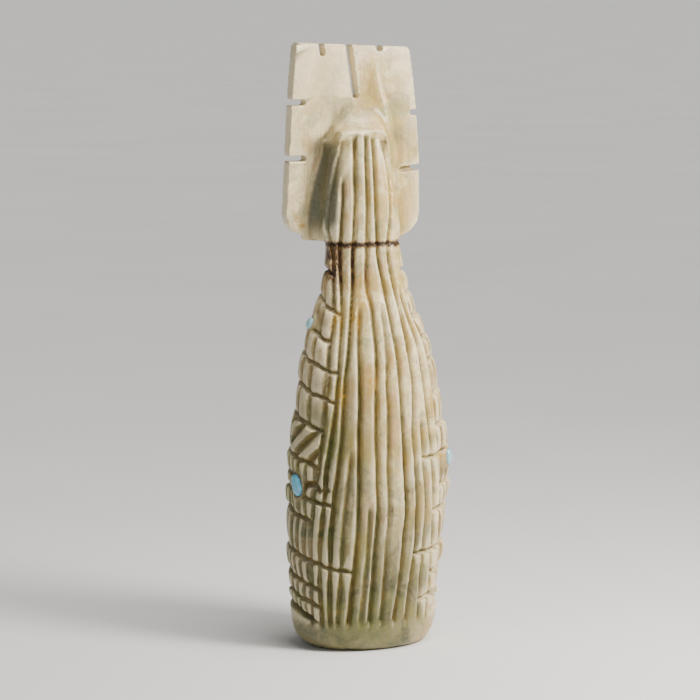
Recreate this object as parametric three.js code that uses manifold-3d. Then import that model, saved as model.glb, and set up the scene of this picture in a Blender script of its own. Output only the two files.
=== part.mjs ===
// A corn maiden figure carved from one piece of stone, photographed from behind.
// Long strands of hair fall from a notched upright tablet down the back, rows of corn
// kernels wrap round the sides and the front, and small turquoise domes are set in the
// kernels. All sizes are millimetres. +Z is up, the face looks along -Y and the hair
// along +Y, and the origin is in the middle of the flat underside.
import * as THREE from 'three';
import { ConvexGeometry } from 'three/addons/geometries/ConvexGeometry.js';
import * as BufferGeometryUtils from 'three/addons/utils/BufferGeometryUtils.js';
import Module from 'manifold-3d';

// Driving sizes
const FIGURE_HEIGHT = 115;
const BODY_WIDTH = 33.2;
const BODY_DEPTH = 21.3;
const TABLET_WIDTH = 27.1;
const TABLET_THICKNESS = 3.2;

// The carving keeps its proportions as shares of the driving sizes, in hundredths:
// heights of FIGURE_HEIGHT, sideways places of half of BODY_WIDTH, and places fore and
// aft of half of BODY_DEPTH
const height = (share) => (share * FIGURE_HEIGHT) / 100;
const across = (share) => (share * BODY_WIDTH) / 200;
const deep = (share) => (share * BODY_DEPTH) / 200;

// Body outline, as [height, place] stations up the figure
const HALF_WIDTH = [
  [0, 65.7], [0.4, 71.7], [1.3, 78.3], [2.6, 83.1], [4.3, 86.1], [7, 88.6], [10.4, 92.2], [13.9, 95.2],
  [17.4, 97], [21.7, 98.8], [27.8, 100], [32.2, 99.4], [34.8, 97], [39.1, 92.8], [43.5, 88.6], [47.8, 83.1],
  [52.2, 74.7], [56.5, 62.7], [60.9, 52.4], [64.3, 45.8], [67, 44], [69.6, 47.6], [73, 45.2], [78.3, 39.8],
  [81.7, 35.5], [85.6, 27.7],
];
const CENTRE_X = [
  [0, -1.2], [1.7, 2.4], [10.4, 2.1], [19.1, 0.6], [27.8, -3], [43.5, -3.3], [53.9, -2.4], [66.1, -0.9],
  [69.6, 2.4], [85.6, 3.6],
];
const CENTRE_Y = [[0, 0], [39.1, 0], [54.8, -9.4], [66.1, -18.8], [85.6, -28.2]];
const BACK_Y = [
  [0, 69.5], [0.4, 77.9], [1.3, 85.4], [2.6, 90.1], [5.2, 93.9], [10.4, 96.7], [17.4, 99.5], [28.7, 100.5],
  [39.1, 93], [47.8, 77.9], [54.8, 57.3], [60.9, 37.6], [66.1, 26.3], [73, 19.7], [80, 12.2], [85.6, 2.8],
];
const FRONT_Y = [
  [0, -69.5], [0.4, -77.9], [1.3, -85.4], [2.6, -90.1], [5.2, -93.9], [17.4, -98.6], [28.7, -99.5],
  [39.1, -95.8], [47.8, -88.3], [54.8, -80.8], [60.9, -76.1], [66.1, -73.2], [85.6, -69.5],
];
const HAIR_TOP = 85.6;

// Grooves beside the hair strands, from the left edge of the hair to the right one: the
// height below which each groove is cut, and its sideways place at each of the heights
const GROOVE_HEIGHTS = [4, 12, 18, 24, 31, 37, 44, 50, 56, 60, 66, 70, 74, 79, 84];
const HAIR_GROOVES = [
  { top: 84.3, places: [78, 81, 82, 80, 75, 69, 62, 57, 48, 45, 42, 48, 45, 38, 31] },
  { top: 79.1, places: [69, 73, 73, 70, 66, 59, 52, 46, 40, 38, 36, 34, 32, 30, 24] },
  { top: 85.2, places: [61, 63, 63, 60, 54, 49, 44, 37, 30, 25, 22, 20, 18, 17, 16] },
  { top: 34.8, places: [54, 52, 50, 47, 42, 38, 34, 30, 26, 21, 18, 16, 15, 13, 12] },
  { top: 58.3, places: [43, 38, 34, 32, 31, 30, 27, 25, 21, 16, 13, 11, 10, 9, 9] },
  { top: 26.1, places: [29, 24, 21, 19, 19, 19, 17, 14, 13, 13, 10, 8, 7, 6, 5] },
  { top: 85.2, places: [19, 15, 12, 9, 10, 10, 8, 5, 5, 9, 6, 4, 3, 3, 2] },
  { top: 58.3, places: [5, 0, -2, -5, -4, -5, -6, -8, -7, -2, -3, -3, -3, -3, -3] },
  { top: 85.2, places: [-11, -19, -23, -27, -24, -23, -22, -20, -16, -13, -8, -8, -8, -8, -7] },
  { top: 85.2, places: [-27, -34, -40, -41, -39, -37, -39, -36, -31, -26, -22, -26, -29, -27, -20] },
  { top: 40, places: [-45, -48, -51, -54, -50, -48, -46, -42, -35, -30, -26, -30, -33, -30, -22] },
  { top: 60.9, places: [-58, -62, -64, -65, -62, -59, -54, -50, -39, -34, -31, -35, -36, -31, -24] },
  { top: 64.3, places: [-70, -75, -76, -76, -74, -71, -67, -62, -47, -42, -38, -41, -41, -35, -26] },
];
const STRAND_GROOVE_DEPTH = 1.05;
const STRAND_WALL_WIDTH = 0.45;
const STRAND_BANK_WIDTH = 1;
const STRAND_SLOPE_SHARE = 0.35;
const STRAND_SLOPE_WIDTH = 2.2;
const STRAND_START_FADE = 4;
const HEAD_START = 82;
const HEAD_START_FADE = 0.5;
const STRAND_END = 3.7;
const STRAND_END_FADE = 2.2;

// Ledges that part the tiers of kernels: height at each side of the body, and how many
// hair grooves each ledge crosses past the edge of the hair
const LEFT_LEDGES = [62.6, 58.2, 53.5, 49, 44.3, 39.1, 33.1, 29.6, 27.2, 23.7, 17, 12.8, 9.7, 7.1];
const LEFT_GROOVES_CROSSED = [0, 1, 0, 1, 1, 0, 0, 0, 2, 0, 4, 1, 1, 0];
const RIGHT_LEDGES = [62.6, 59.3, 55.8, 52.1, 48.3, 43, 37.7, 33, 27.7, 23.7, 17.2, 13.2, 9.2, 6.9];
const RIGHT_GROOVES_CROSSED = [0, 0, 0, 0, 0, 0, 0, 2, 0, 1, 3, 1, 2, 0];
// Fall of the ledges towards the hair and the front, as a share of the height per degree
const LEFT_LEDGE_FALL = 0.054;
const RIGHT_LEDGE_FALL = 0.022;
const FRONT_LEDGE_FALL = 0.026;
const FRONT_LEDGE_SPAN = 30;
const TOP_LEDGE_FALL_SHARE = 0.3;
const HAIR_JOIN_ANGLES = [-25, 15];
const FRONT_JOIN_ANGLE = 140;
const LEDGE_DEPTH = 1.2;
const LEDGE_LIP_HEIGHT = 0.4;
const LEDGE_UNDERCUT_HEIGHT = 1;
const LEDGE_END_FADE = 0.2;
const LEDGE_CARVING_SHARE = 0.4;

// Kernels: columns from the edge of the hair round to the middle of the front
const KERNEL_COLUMNS = 14;
const FRONT_KERNEL_COLUMN = 8;
const WIDE_KERNEL_TIERS = 5;
const KERNEL_GROOVE_DEPTH = 0.8;
const KERNEL_GROOVE_SHARE = 0.24;
const KERNEL_UNEVENNESS = 0.4;

// Slanting leaves in one tier on the left side, drawn from one angle and height
const LEAF_TIER = 5;
const LEAF_GROOVE_DEPTH = 1.2;
const LEAF_GROOVE_SPACING = 4.4;
const LEAF_GROOVE_HALF_WIDTH = 1.3;
const LEAF_FALL = 0.165;
const LEAF_START_ANGLE = 73;
const LEAF_START = 33.6;

// Deep slot above the smooth base, and the line cut round the neck under the tablet
const BASE_SLOT_DEPTH = 1.1;
const BASE_SLOT_HALF_HEIGHT = 0.6;
const BASE_SLOT_ANGLES = [46, 70];
const NECK_LINE = 67.1;
const NECK_LINE_HALF_HEIGHT = 0.45;
const NECK_LINE_DEPTH = 0.4;

// Notched tablet behind the face, drawn with sideways places as hundredths of half of
// TABLET_WIDTH. A kerf goes right through unless it has a depth of its own
const TABLET_CENTRE_X = 0.55;
const TABLET_BACK = deep(-50.7);
const TABLET_EDGE_ROUND = 0.25;
const TABLET_OUTLINE = [
  [80.8, 100], [85.2, 99.4], [88.9, 94.8], [92.6, 88.7], [96.3, 80], [100, 71.7], [97, 70.1], [88.9, 69],
  [52, 67.3], [-63.1, 67], [-88.2, 68.7], [-97, 70.1], [-100, 72], [-99.3, 80], [-94.8, 88.7],
  [-88.9, 94.8], [-84.5, 98.5], [-80.1, 99.2],
];
const KERF_WIDTH = 1.1;
const TABLET_KERFS = [
  { from: [49.8, 101], to: [46.1, 98.2], width: KERF_WIDTH },
  { from: [8.9, 101], to: [-2.6, 91.3], width: 1.25 },
  { from: [-35.8, 101], to: [-38.7, 99], width: 1.35 },
  { from: [107, 90.2], to: [74.9, 90.2], width: KERF_WIDTH },
  { from: [107, 81], to: [74.2, 81], width: KERF_WIDTH },
  { from: [-107, 88.3], to: [-88.2, 88.3], width: KERF_WIDTH },
  { from: [-107, 79.3], to: [-93.4, 79.1], width: KERF_WIDTH },
  { from: [-107, 79.3], to: [-73.4, 78.8], width: KERF_WIDTH, depth: 1.3 },
];
const KERF_OVERRUN = 1;
const KERF_END_STEPS = 6;
const SLOT = 1;
const SLOT_MOUTH_FLARE = 0.5;
const SLOT_MOUTH_DEPTH = 1.8;

// Head behind the tablet. The crown is drawn as sections that sweep from a foot on the tablet,
// [sideways, height], out to the brow over the hair, [sideways, behind the tablet, height].
// The spur is a hull of such points, and there is a web down each side of the hair
const CROWN_SECTIONS = [
  { foot: [46, 80.6], brow: [32, 43, 81.6] },
  { foot: [38, 84], brow: [31, 50, 84.4] },
  { foot: [29, 86.8], brow: [28.5, 52, 85.3] },
  { foot: [0, 90.6], brow: [1, 53.5, 85.6] },
  { foot: [-24, 92], brow: [-20, 53, 85.5] },
  { foot: [-34, 89.8], brow: [-25, 51, 84.9] },
  { foot: [-42, 85], brow: [-28, 46, 83.4] },
  { foot: [-46, 80], brow: [-31, 40, 81.6] },
];
const CROWN_HOLLOW = 0.62;
const CROWN_STEPS = 4;
const CROWN_UNDERSIDE = 81.4;
const CROWN_UNDERCUT = 8;
const SPUR_POINTS = [
  [-22.9, 0, 96.9], [-12, 0, 90.8], [-44, 0, 88], [-52, 0, 80], [-46, 0, 79], [-26.5, 6, 92.6],
  [-33, 12, 89.6], [-38, 17, 86], [-42, 17, 81],
];
const WEB_HEIGHTS = [67.5, 69.6, 73.9, 79.1, 83.3, 85.4];
const WEBS = [
  { tablet: [64, 66, 62, 52, 40, 28], hair: [45, 48, 45, 38, 31, 24] },
  { tablet: [-52, -54, -49, -46, -46, -45], hair: [-40, -43, -40, -34, -30, -24] },
];
const WEB_BEHIND_TABLET = 41.3;
const WEB_INNER_SHARE = 0.4;

// Plain face on the hidden front of the tablet. Its features are shares of its own size
const FACE_HALF_WIDTH = across(30);
const FACE_HALF_DEPTH = deep(24.4);
const FACE_HALF_HEIGHT = height(6.3);
const FACE_LEVEL = 76.1;
const FACE_SINK = 0.6;
const EYE_SPACING_SHARE = 0.4;
const EYE_LEVEL_SHARE = 0.05;
const MOUTH_DROP_SHARE = 0.47;
const NOSE_DROP_SHARE = 0.08;
const EYE_HALF_SIZE = [0.95, 0.5, 0.4];
const MOUTH_HALF_SIZE = [1.1, 0.5, 0.35];
const NOSE_HALF_SIZE = [0.55, 0.7, 1.8];
const FEATURE_SINK = 0.3;

// Turquoise domes in their sockets: angle round the body and height share of each, how many
// times taller it is than wide, and its lean in degrees
const INLAY_RADIUS = 1.15;
const INLAY_SEAT_DEPTH = 1.1;
const INLAY_DOME_HEIGHT = 0.6;
const INLAY_CLEARANCE = 0.12;
const INLAY_FLOOR_GAP = 0.3;
const INLAY_PAD_RADIUS = 1.9;
const INLAY_PAD_EDGE = 0.45;
const INLAY_PAD_LEVEL = -0.3;
const INLAY_DOME_TURNS = [25, 50, 72];
const INLAYS = [
  { name: 'turquoise_inlay_left_upper', angle: 93, level: 54.2, tall: 1.05, lean: 0 },
  { name: 'turquoise_inlay_left_lower', angle: 73, level: 27.9, tall: 1.85, lean: 14 },
  { name: 'turquoise_inlay_right', angle: -66, level: 31.2, tall: 1.35, lean: 0 },
];

// How finely the carving is followed
const BASE_ROWS = [0, 0.4, 1.3, 2.8, 4.3, 5.7];
const NECK_ROWS = [63.7, 65.2];
const HEAD_ROWS = [68.7, 71.3, 74.8, 78.3, 81.7, 84, 84.9, HAIR_TOP];
const STRAND_COLUMN_SHARES = [0, 0.17, 0.62];
const KERNEL_COLUMN_SHARES = [0, 0.24, 0.76];
const FRONT_COLUMN_SHARES = [0, 0.3, 1.7];
const WIDEST_HAIR_SHARE = 0.985;
const FACET_TOLERANCE = 0.15;
const INLAY_SIDES = 14;
const FACE_SIDES = 16;
const FEATURE_SIDES = 10;

const wasm = await Module();
wasm.setup();

// Smooth value at a height in millimetres, from stations whose heights are shares
function along(stations, z) {
  const level = (100 * z) / FIGURE_HEIGHT;
  const last = stations.length - 1;
  if (level <= stations[0][0]) return stations[0][1];
  if (level >= stations[last][0]) return stations[last][1];
  let i = 0;
  while (level > stations[i + 1][0]) i += 1;
  const slope = (k) => (stations[k + 1][1] - stations[k][1]) / (stations[k + 1][0] - stations[k][0]);
  const tangent = (k) => {
    if (k === 0) return slope(0);
    if (k === last) return slope(last - 1);
    const before = slope(k - 1);
    const after = slope(k);
    return before * after <= 0 ? 0 : (2 * before * after) / (before + after);
  };
  const span = stations[i + 1][0] - stations[i][0];
  const t = (level - stations[i][0]) / span;
  return stations[i][1] * (1 + 2 * t) * (1 - t) ** 2 + tangent(i) * span * t * (1 - t) ** 2
    + stations[i + 1][1] * t * t * (3 - 2 * t) + tangent(i + 1) * span * t * t * (t - 1);
}

const halfWidthAt = (z) => across(along(HALF_WIDTH, z));
const centreXAt = (z) => across(along(CENTRE_X, z));
const groovePaths = HAIR_GROOVES.map((groove) => GROOVE_HEIGHTS.map((level, i) => [level, groove.places[i]]));
const groovePlace = (g, z) => across(along(groovePaths[g], z));
const LAST_GROOVE = HAIR_GROOVES.length - 1;

function smooth(from, to, value) {
  const t = THREE.MathUtils.clamp((value - from) / (to - from), 0, 1);
  return t * t * (3 - 2 * t);
}

// A repeatable uneven number between 0 and 1 for one kernel
function uneven(a, b) {
  const s = Math.sin(a * 12.9898 + b * 78.233) * 43758.5453;
  return s - Math.floor(s);
}

// Point of the plain body at an angle from straight behind, before any carving
function plainPoint(angle, z) {
  const centreY = deep(along(CENTRE_Y, z));
  const edgeY = deep(along(Math.cos(angle) > 0 ? BACK_Y : FRONT_Y, z));
  const depth = Math.abs(edgeY - centreY);
  const halfWidth = halfWidthAt(z);
  const x = centreXAt(z) + halfWidth * Math.sin(angle);
  const outward = new THREE.Vector2(Math.sin(angle) / halfWidth, Math.cos(angle) / depth).normalize();
  return { point: new THREE.Vector3(x, centreY + depth * Math.cos(angle), z), outward };
}

// Hair: each strand rises slowly from one groove to a crest that drops steeply into the next
function strandRelief(x, z) {
  let cut = 0;
  HAIR_GROOVES.forEach((groove, g) => {
    const past = groovePlace(g, z) - x;
    const top = height(groove.top);
    const fade = groove.top > HEAD_START ? HEAD_START_FADE : STRAND_START_FADE;
    const started = 1 - smooth(top - fade, top, z);
    const bank = 1 - past / STRAND_BANK_WIDTH;
    const slope = STRAND_SLOPE_SHARE * Math.max(0, 1 - past / STRAND_SLOPE_WIDTH);
    const profile = past < 0 ? 1 + past / STRAND_WALL_WIDTH : Math.max(bank, slope);
    cut = Math.max(cut, started * profile);
  });
  const end = height(STRAND_END);
  return -STRAND_GROOVE_DEPTH * smooth(end, end + STRAND_END_FADE, z) * cut;
}

// Height of one ledge round the body; the two sides are joined across the hair and the front
function ledgeHeight(k, degrees) {
  const side = Math.abs(degrees);
  const drop = Math.max(0, 90 - side);
  const rise = FRONT_LEDGE_FALL * THREE.MathUtils.clamp(side - 90, 0, FRONT_LEDGE_SPAN);
  const fall = k === 0 ? TOP_LEDGE_FALL_SHARE : 1;
  const left = LEFT_LEDGES[k] + fall * (rise - LEFT_LEDGE_FALL * drop);
  const right = RIGHT_LEDGES[k] + fall * (rise - RIGHT_LEDGE_FALL * drop);
  const inHair = smooth(...HAIR_JOIN_ANGLES, degrees);
  const inFront = 0.5 + Math.sign(degrees) * 0.5 * (1 - smooth(FRONT_JOIN_ANGLE, 180, side));
  return height(right + (left - right) * (side < 90 ? inHair : inFront));
}

// Angle of one edge of the hair, in degrees from straight behind
function hairEdge(left, z) {
  const reach = Math.abs(groovePlace(left ? 0 : LAST_GROOVE, z) - centreXAt(z)) / halfWidthAt(z);
  return THREE.MathUtils.radToDeg(Math.asin(Math.min(reach, WIDEST_HAIR_SHARE)));
}

// The step at every ledge: a sharp lip below it and a hollow above it
function ledgeRelief(degrees, x, z) {
  const left = degrees > 0;
  const crossed = left ? LEFT_GROOVES_CROSSED : RIGHT_GROOVES_CROSSED;
  let depth = 0;
  for (let k = 0; k < crossed.length; k += 1) {
    const above = z - ledgeHeight(k, degrees);
    if (above > -LEDGE_LIP_HEIGHT && above < LEDGE_UNDERCUT_HEIGHT) {
      const limit = groovePlace(left ? crossed[k] : LAST_GROOVE - crossed[k], z);
      const past = left ? x - limit : limit - x;
      const outside = Math.abs(degrees) > 90 ? 1 : smooth(-LEDGE_END_FADE, LEDGE_END_FADE, past);
      const cut = above < 0 ? 1 + above / LEDGE_LIP_HEIGHT : 1 - above / LEDGE_UNDERCUT_HEIGHT;
      depth = Math.min(depth, -LEDGE_DEPTH * outside * cut);
    }
  }
  return depth;
}

function tierAt(degrees, z) {
  for (let k = 0; k < LEFT_LEDGES.length - 1; k += 1) {
    if (z <= ledgeHeight(k, degrees) && z > ledgeHeight(k + 1, degrees)) return k;
  }
  return -1;
}

// Grooves between the kernels of a tier, and a little unevenness from one kernel to the next
function kernelRelief(degrees, z, tier) {
  const left = degrees > 0;
  const edge = hairEdge(left, z);
  const column = (KERNEL_COLUMNS * (Math.abs(degrees) - edge)) / (180 - edge);
  const wide = tier < WIDE_KERNEL_TIERS || column > FRONT_KERNEL_COLUMN;
  const span = wide ? 2 : 1;
  const place = column / span;
  const near = Math.min(place - Math.floor(place), Math.ceil(place) - place) * span;
  const groove = 1 - Math.min(1, near / KERNEL_GROOVE_SHARE);
  const lower = KERNEL_UNEVENNESS * uneven(Math.floor(place) + tier * 7, left ? 3 : 5);
  return -KERNEL_GROOVE_DEPTH * groove - lower * (1 - groove);
}

function leafRelief(degrees, z) {
  const slanted = z - height(LEAF_START - LEAF_FALL * (degrees - LEAF_START_ANGLE));
  const place = THREE.MathUtils.euclideanModulo(slanted, LEAF_GROOVE_SPACING);
  const near = Math.min(place, LEAF_GROOVE_SPACING - place);
  return -LEAF_GROOVE_DEPTH * (1 - Math.min(1, near / LEAF_GROOVE_HALF_WIDTH));
}

function baseSlotRelief(degrees, z) {
  const near = Math.abs(z - ledgeHeight(LEFT_LEDGES.length - 1, degrees)) / BASE_SLOT_HALF_HEIGHT;
  return -BASE_SLOT_DEPTH * smooth(...BASE_SLOT_ANGLES, Math.abs(degrees)) * (1 - Math.min(1, near));
}

function neckLineRelief(degrees, z) {
  const near = Math.abs(z - height(NECK_LINE)) / NECK_LINE_HALF_HEIGHT;
  return Math.abs(degrees) < 90 ? -NECK_LINE_DEPTH * (1 - Math.min(1, near)) : 0;
}

// Depth of all carving at a point of the body, measured from the plain surface
function relief(angle, z) {
  const degrees = THREE.MathUtils.radToDeg(angle);
  const { point } = plainPoint(angle, z);
  const side = Math.abs(degrees);
  const tier = tierAt(degrees, z);
  const inHair = side < 90 && side < hairEdge(degrees > 0, z) + 0.01;
  let depth = inHair ? strandRelief(point.x, z) : 0;
  if (!inHair && tier >= 0) {
    const leaves = tier === LEAF_TIER && degrees > 0 && side < 90;
    depth = leaves ? leafRelief(degrees, z) : kernelRelief(degrees, z, tier);
  }
  depth = Math.min(depth, ledgeRelief(degrees, point.x, z) + depth * LEDGE_CARVING_SHARE);
  depth += baseSlotRelief(degrees, z) + neckLineRelief(degrees, z);
  for (const inlay of INLAYS) {
    const middle = plainPoint(THREE.MathUtils.degToRad(inlay.angle), height(inlay.level)).point;
    const away = Math.hypot(middle.x - point.x, middle.y - point.y, (middle.z - z) / inlay.tall);
    const pad = 1 - smooth(INLAY_PAD_RADIUS - INLAY_PAD_EDGE, INLAY_PAD_RADIUS + INLAY_PAD_EDGE, away);
    depth += (INLAY_PAD_LEVEL - depth) * pad;
  }
  return depth;
}

function carvedPoint(angle, z) {
  const { point, outward } = plainPoint(angle, z);
  const depth = relief(angle, z);
  return new THREE.Vector3(point.x + outward.x * depth, point.y + outward.y * depth, z);
}

// Angles of the kernel columns on one side, outward from the edge of the hair
function kernelAngles(edge) {
  const columns = [];
  for (let column = 0; column < FRONT_KERNEL_COLUMN; column += 1) {
    for (const share of KERNEL_COLUMN_SHARES) columns.push(column + share);
  }
  for (let column = FRONT_KERNEL_COLUMN; column < KERNEL_COLUMNS; column += 2) {
    for (const share of FRONT_COLUMN_SHARES) columns.push(column + share);
  }
  return columns.map((column) => THREE.MathUtils.degToRad(edge + ((180 - edge) * column) / KERNEL_COLUMNS));
}

// Angles of all grid columns at one height, right round the body
function columnAngles(z) {
  const grooves = HAIR_GROOVES.map((_, g) => {
    const reach = (groovePlace(g, z) - centreXAt(z)) / halfWidthAt(z);
    return Math.asin(THREE.MathUtils.clamp(reach, -WIDEST_HAIR_SHARE, WIDEST_HAIR_SHARE));
  });
  const right = kernelAngles(hairEdge(false, z)).map((angle) => -angle).reverse();
  const left = kernelAngles(hairEdge(true, z)).slice(1);
  const angles = [-Math.PI, ...right];
  for (let g = LAST_GROOVE; g > 0; g -= 1) {
    for (const share of STRAND_COLUMN_SHARES) {
      if (g < LAST_GROOVE || share > 0) angles.push(grooves[g] + (grooves[g - 1] - grooves[g]) * share);
    }
  }
  return [...angles, grooves[0], ...left];
}

// Heights of the grid rows, as functions of the angle so that they follow the ledges
function rowHeights() {
  const level = (share) => () => height(share);
  const rows = BASE_ROWS.map(level);
  for (let k = LEFT_LEDGES.length - 2; k >= 0; k -= 1) {
    const top = (degrees) => ledgeHeight(k, degrees);
    const bottom = (degrees) => ledgeHeight(k + 1, degrees);
    rows.push(bottom);
    rows.push((degrees) => bottom(degrees) + LEDGE_UNDERCUT_HEIGHT);
    rows.push((degrees) => (bottom(degrees) + LEDGE_UNDERCUT_HEIGHT + top(degrees) - LEDGE_LIP_HEIGHT) / 2);
    rows.push((degrees) => top(degrees) - LEDGE_LIP_HEIGHT);
  }
  rows.push((degrees) => ledgeHeight(0, degrees));
  rows.push(...NECK_ROWS.map(level));
  for (const side of [-1, 0, 1]) rows.push(() => height(NECK_LINE) + side * NECK_LINE_HALF_HEIGHT);
  return rows.concat(HEAD_ROWS.map(level));
}

// The standing body, from the flat underside to the top edge of the hair
function bodyGeometry() {
  const rows = rowHeights();
  const positions = [];
  const columns = columnAngles(0).length;
  for (const row of rows) {
    for (let c = 0; c < columns; c += 1) {
      const level = row(THREE.MathUtils.radToDeg(columnAngles(row(0))[c]));
      const p = carvedPoint(columnAngles(level)[c], level);
      positions.push(p.x, p.y, p.z);
    }
  }
  const index = [];
  for (let r = 0; r < rows.length - 1; r += 1) {
    for (let c = 0; c < columns; c += 1) {
      const next = (c + 1) % columns;
      const a = r * columns + c;
      const b = r * columns + next;
      index.push(a, a + columns, b, b, a + columns, b + columns);
    }
  }
  const bottom = positions.length / 3;
  for (const z of [0, height(HAIR_TOP)]) positions.push(centreXAt(z), deep(along(CENTRE_Y, z)), z);
  const top = (rows.length - 1) * columns;
  for (let c = 0; c < columns; c += 1) {
    const next = (c + 1) % columns;
    index.push(bottom, c, next, bottom + 1, top + next, top + c);
  }
  const geometry = new THREE.BufferGeometry();
  geometry.setAttribute('position', new THREE.Float32BufferAttribute(positions, 3));
  geometry.setIndex(index);
  return geometry;
}

// Puts a shape drawn in X and Z upright, with its thickness running to -Y from a given plane
function uprightPlate(outline, backY, thickness, round) {
  const geometry = new THREE.ExtrudeGeometry(new THREE.Shape(outline), {
    depth: thickness - 2 * round,
    bevelEnabled: round > 0,
    bevelThickness: round,
    bevelSize: round,
    bevelOffset: -round,
    bevelSegments: 1,
  });
  geometry.rotateX(Math.PI / 2);
  geometry.translate(0, backY - round, 0);
  return toManifold(geometry);
}

const tabletPoint = ([x, z]) => new THREE.Vector2(TABLET_CENTRE_X + (x * TABLET_WIDTH) / 200, height(z));

function kerfSolid(kerf) {
  const from = tabletPoint(kerf.from);
  const to = tabletPoint(kerf.to);
  const direction = to.clone().sub(from).normalize();
  const half = kerf.width / 2;
  const side = new THREE.Vector2(-direction.y, direction.x).multiplyScalar(half);
  const outline = [from.clone().add(side), from.clone().sub(side)];
  for (let i = 0; i <= KERF_END_STEPS; i += 1) {
    const turn = Math.PI * (i / KERF_END_STEPS - 0.5);
    const forward = direction.clone().multiplyScalar(half * Math.cos(turn));
    outline.push(to.clone().add(forward).addScaledVector(side, Math.sin(turn)));
  }
  const depth = kerf.depth ?? TABLET_THICKNESS + KERF_OVERRUN;
  return uprightPlate(outline, TABLET_BACK + KERF_OVERRUN, depth + KERF_OVERRUN, 0);
}

// The flared mouth at the top of the middle slot
function slotMouthSolid() {
  const mouth = tabletPoint(TABLET_KERFS[SLOT].from);
  const reach = TABLET_KERFS[SLOT].width / 2 + SLOT_MOUTH_FLARE;
  const left = new THREE.Vector2(mouth.x + reach, mouth.y);
  const right = new THREE.Vector2(mouth.x - reach, mouth.y);
  const tip = new THREE.Vector2(mouth.x, FIGURE_HEIGHT - SLOT_MOUTH_DEPTH);
  const outline = [right, left, tip];
  return uprightPlate(outline, TABLET_BACK + KERF_OVERRUN, TABLET_THICKNESS + 2 * KERF_OVERRUN, 0);
}

function tabletSolid() {
  const outline = TABLET_OUTLINE.map(tabletPoint);
  let tablet = uprightPlate(outline, TABLET_BACK, TABLET_THICKNESS, TABLET_EDGE_ROUND);
  for (const kerf of TABLET_KERFS) tablet = tablet.subtract(kerfSolid(kerf));
  return tablet.subtract(slotMouthSolid());
}

// Hull of [sideways, behind the tablet, height] points; those on the tablet go on into it
function rootedHull(points) {
  const corners = [];
  for (const [x, behind, z] of points) {
    corners.push(new THREE.Vector3(across(x), TABLET_BACK + deep(behind), height(z)));
    if (behind === 0) {
      corners.push(new THREE.Vector3(across(x), TABLET_BACK - TABLET_THICKNESS / 2, height(z)));
    }
  }
  return toManifold(new ConvexGeometry(corners));
}

function webSections(web) {
  return WEB_HEIGHTS.map((z, i) => [
    [web.tablet[i], 0, z], [web.hair[i], WEB_BEHIND_TABLET, z],
    [web.hair[i] * WEB_INNER_SHARE, WEB_BEHIND_TABLET, z], [web.hair[i] * WEB_INNER_SHARE, 0, z],
  ]);
}

// One section of the crown: its hollow top from the foot to the brow, and its square inside
function crownSection({ foot, brow }) {
  const root = TABLET_BACK - TABLET_THICKNESS / 2;
  const start = new THREE.Vector2(TABLET_BACK, height(foot[1]));
  const end = new THREE.Vector2(TABLET_BACK + deep(brow[1]), height(brow[2]));
  const bend = new THREE.Vector2(
    start.x + ((end.x - start.x) * (1 - CROWN_HOLLOW)) / 2,
    end.y + ((start.y - end.y) * (1 - CROWN_HOLLOW)) / 2,
  );
  const top = new THREE.QuadraticBezierCurve(start, bend, end).getPoints(CROWN_STEPS);
  const sideways = (i) => across(foot[0] + ((brow[0] - foot[0]) * i) / CROWN_STEPS);
  return [
    [across(foot[0]), root, height(CROWN_UNDERSIDE)],
    [across(foot[0]), root, height(foot[1])],
    ...top.map((p, i) => [sideways(i), p.x, p.y]),
    [across(brow[0]), end.x - deep(CROWN_UNDERCUT), height(CROWN_UNDERSIDE)],
  ];
}

function crownSolid() {
  const sections = CROWN_SECTIONS.map(crownSection);
  const around = sections[0].length;
  const last = (sections.length - 1) * around;
  const index = [];
  for (let s = 0; s < last; s += around) {
    for (let i = 0; i < around; i += 1) {
      const n = (i + 1) % around;
      index.push(s + i, s + n, s + around + i, s + around + i, s + n, s + around + n);
    }
  }
  for (let i = 1; i < around - 1; i += 1) index.push(0, i + 1, i, last, last + i, last + i + 1);
  const geometry = new THREE.BufferGeometry();
  geometry.setAttribute('position', new THREE.Float32BufferAttribute(sections.flat(2), 3));
  geometry.setIndex(index);
  return toManifold(geometry);
}

function headSolid() {
  let head = crownSolid().add(rootedHull(SPUR_POINTS));
  for (const web of WEBS) {
    const sections = webSections(web);
    for (let i = 1; i < sections.length; i += 1) {
      head = head.add(rootedHull([...sections[i - 1], ...sections[i]]));
    }
  }
  return head;
}

function ballSolid(centre, halfSize, around) {
  const geometry = new THREE.SphereGeometry(1, around, Math.ceil(around * 0.6));
  geometry.scale(...halfSize);
  geometry.translate(...centre);
  return toManifold(geometry);
}

function faceSolid() {
  const x = TABLET_CENTRE_X;
  const y = TABLET_BACK - TABLET_THICKNESS + FACE_SINK;
  const z = height(FACE_LEVEL);
  const front = y - FACE_HALF_DEPTH;
  const feature = (sideways, up) => [x + sideways, front + FEATURE_SINK, z + up];
  let face = ballSolid([x, y, z], [FACE_HALF_WIDTH, FACE_HALF_DEPTH, FACE_HALF_HEIGHT], FACE_SIDES);
  face = face.add(ballSolid(feature(0, -NOSE_DROP_SHARE * FACE_HALF_HEIGHT), NOSE_HALF_SIZE, FEATURE_SIDES));
  for (const side of [-1, 1]) {
    const eye = feature(side * EYE_SPACING_SHARE * FACE_HALF_WIDTH, EYE_LEVEL_SHARE * FACE_HALF_HEIGHT);
    face = face.subtract(ballSolid(eye, EYE_HALF_SIZE, FEATURE_SIDES));
  }
  const mouth = feature(0, -MOUTH_DROP_SHARE * FACE_HALF_HEIGHT);
  return face.subtract(ballSolid(mouth, MOUTH_HALF_SIZE, FEATURE_SIDES));
}

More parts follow.
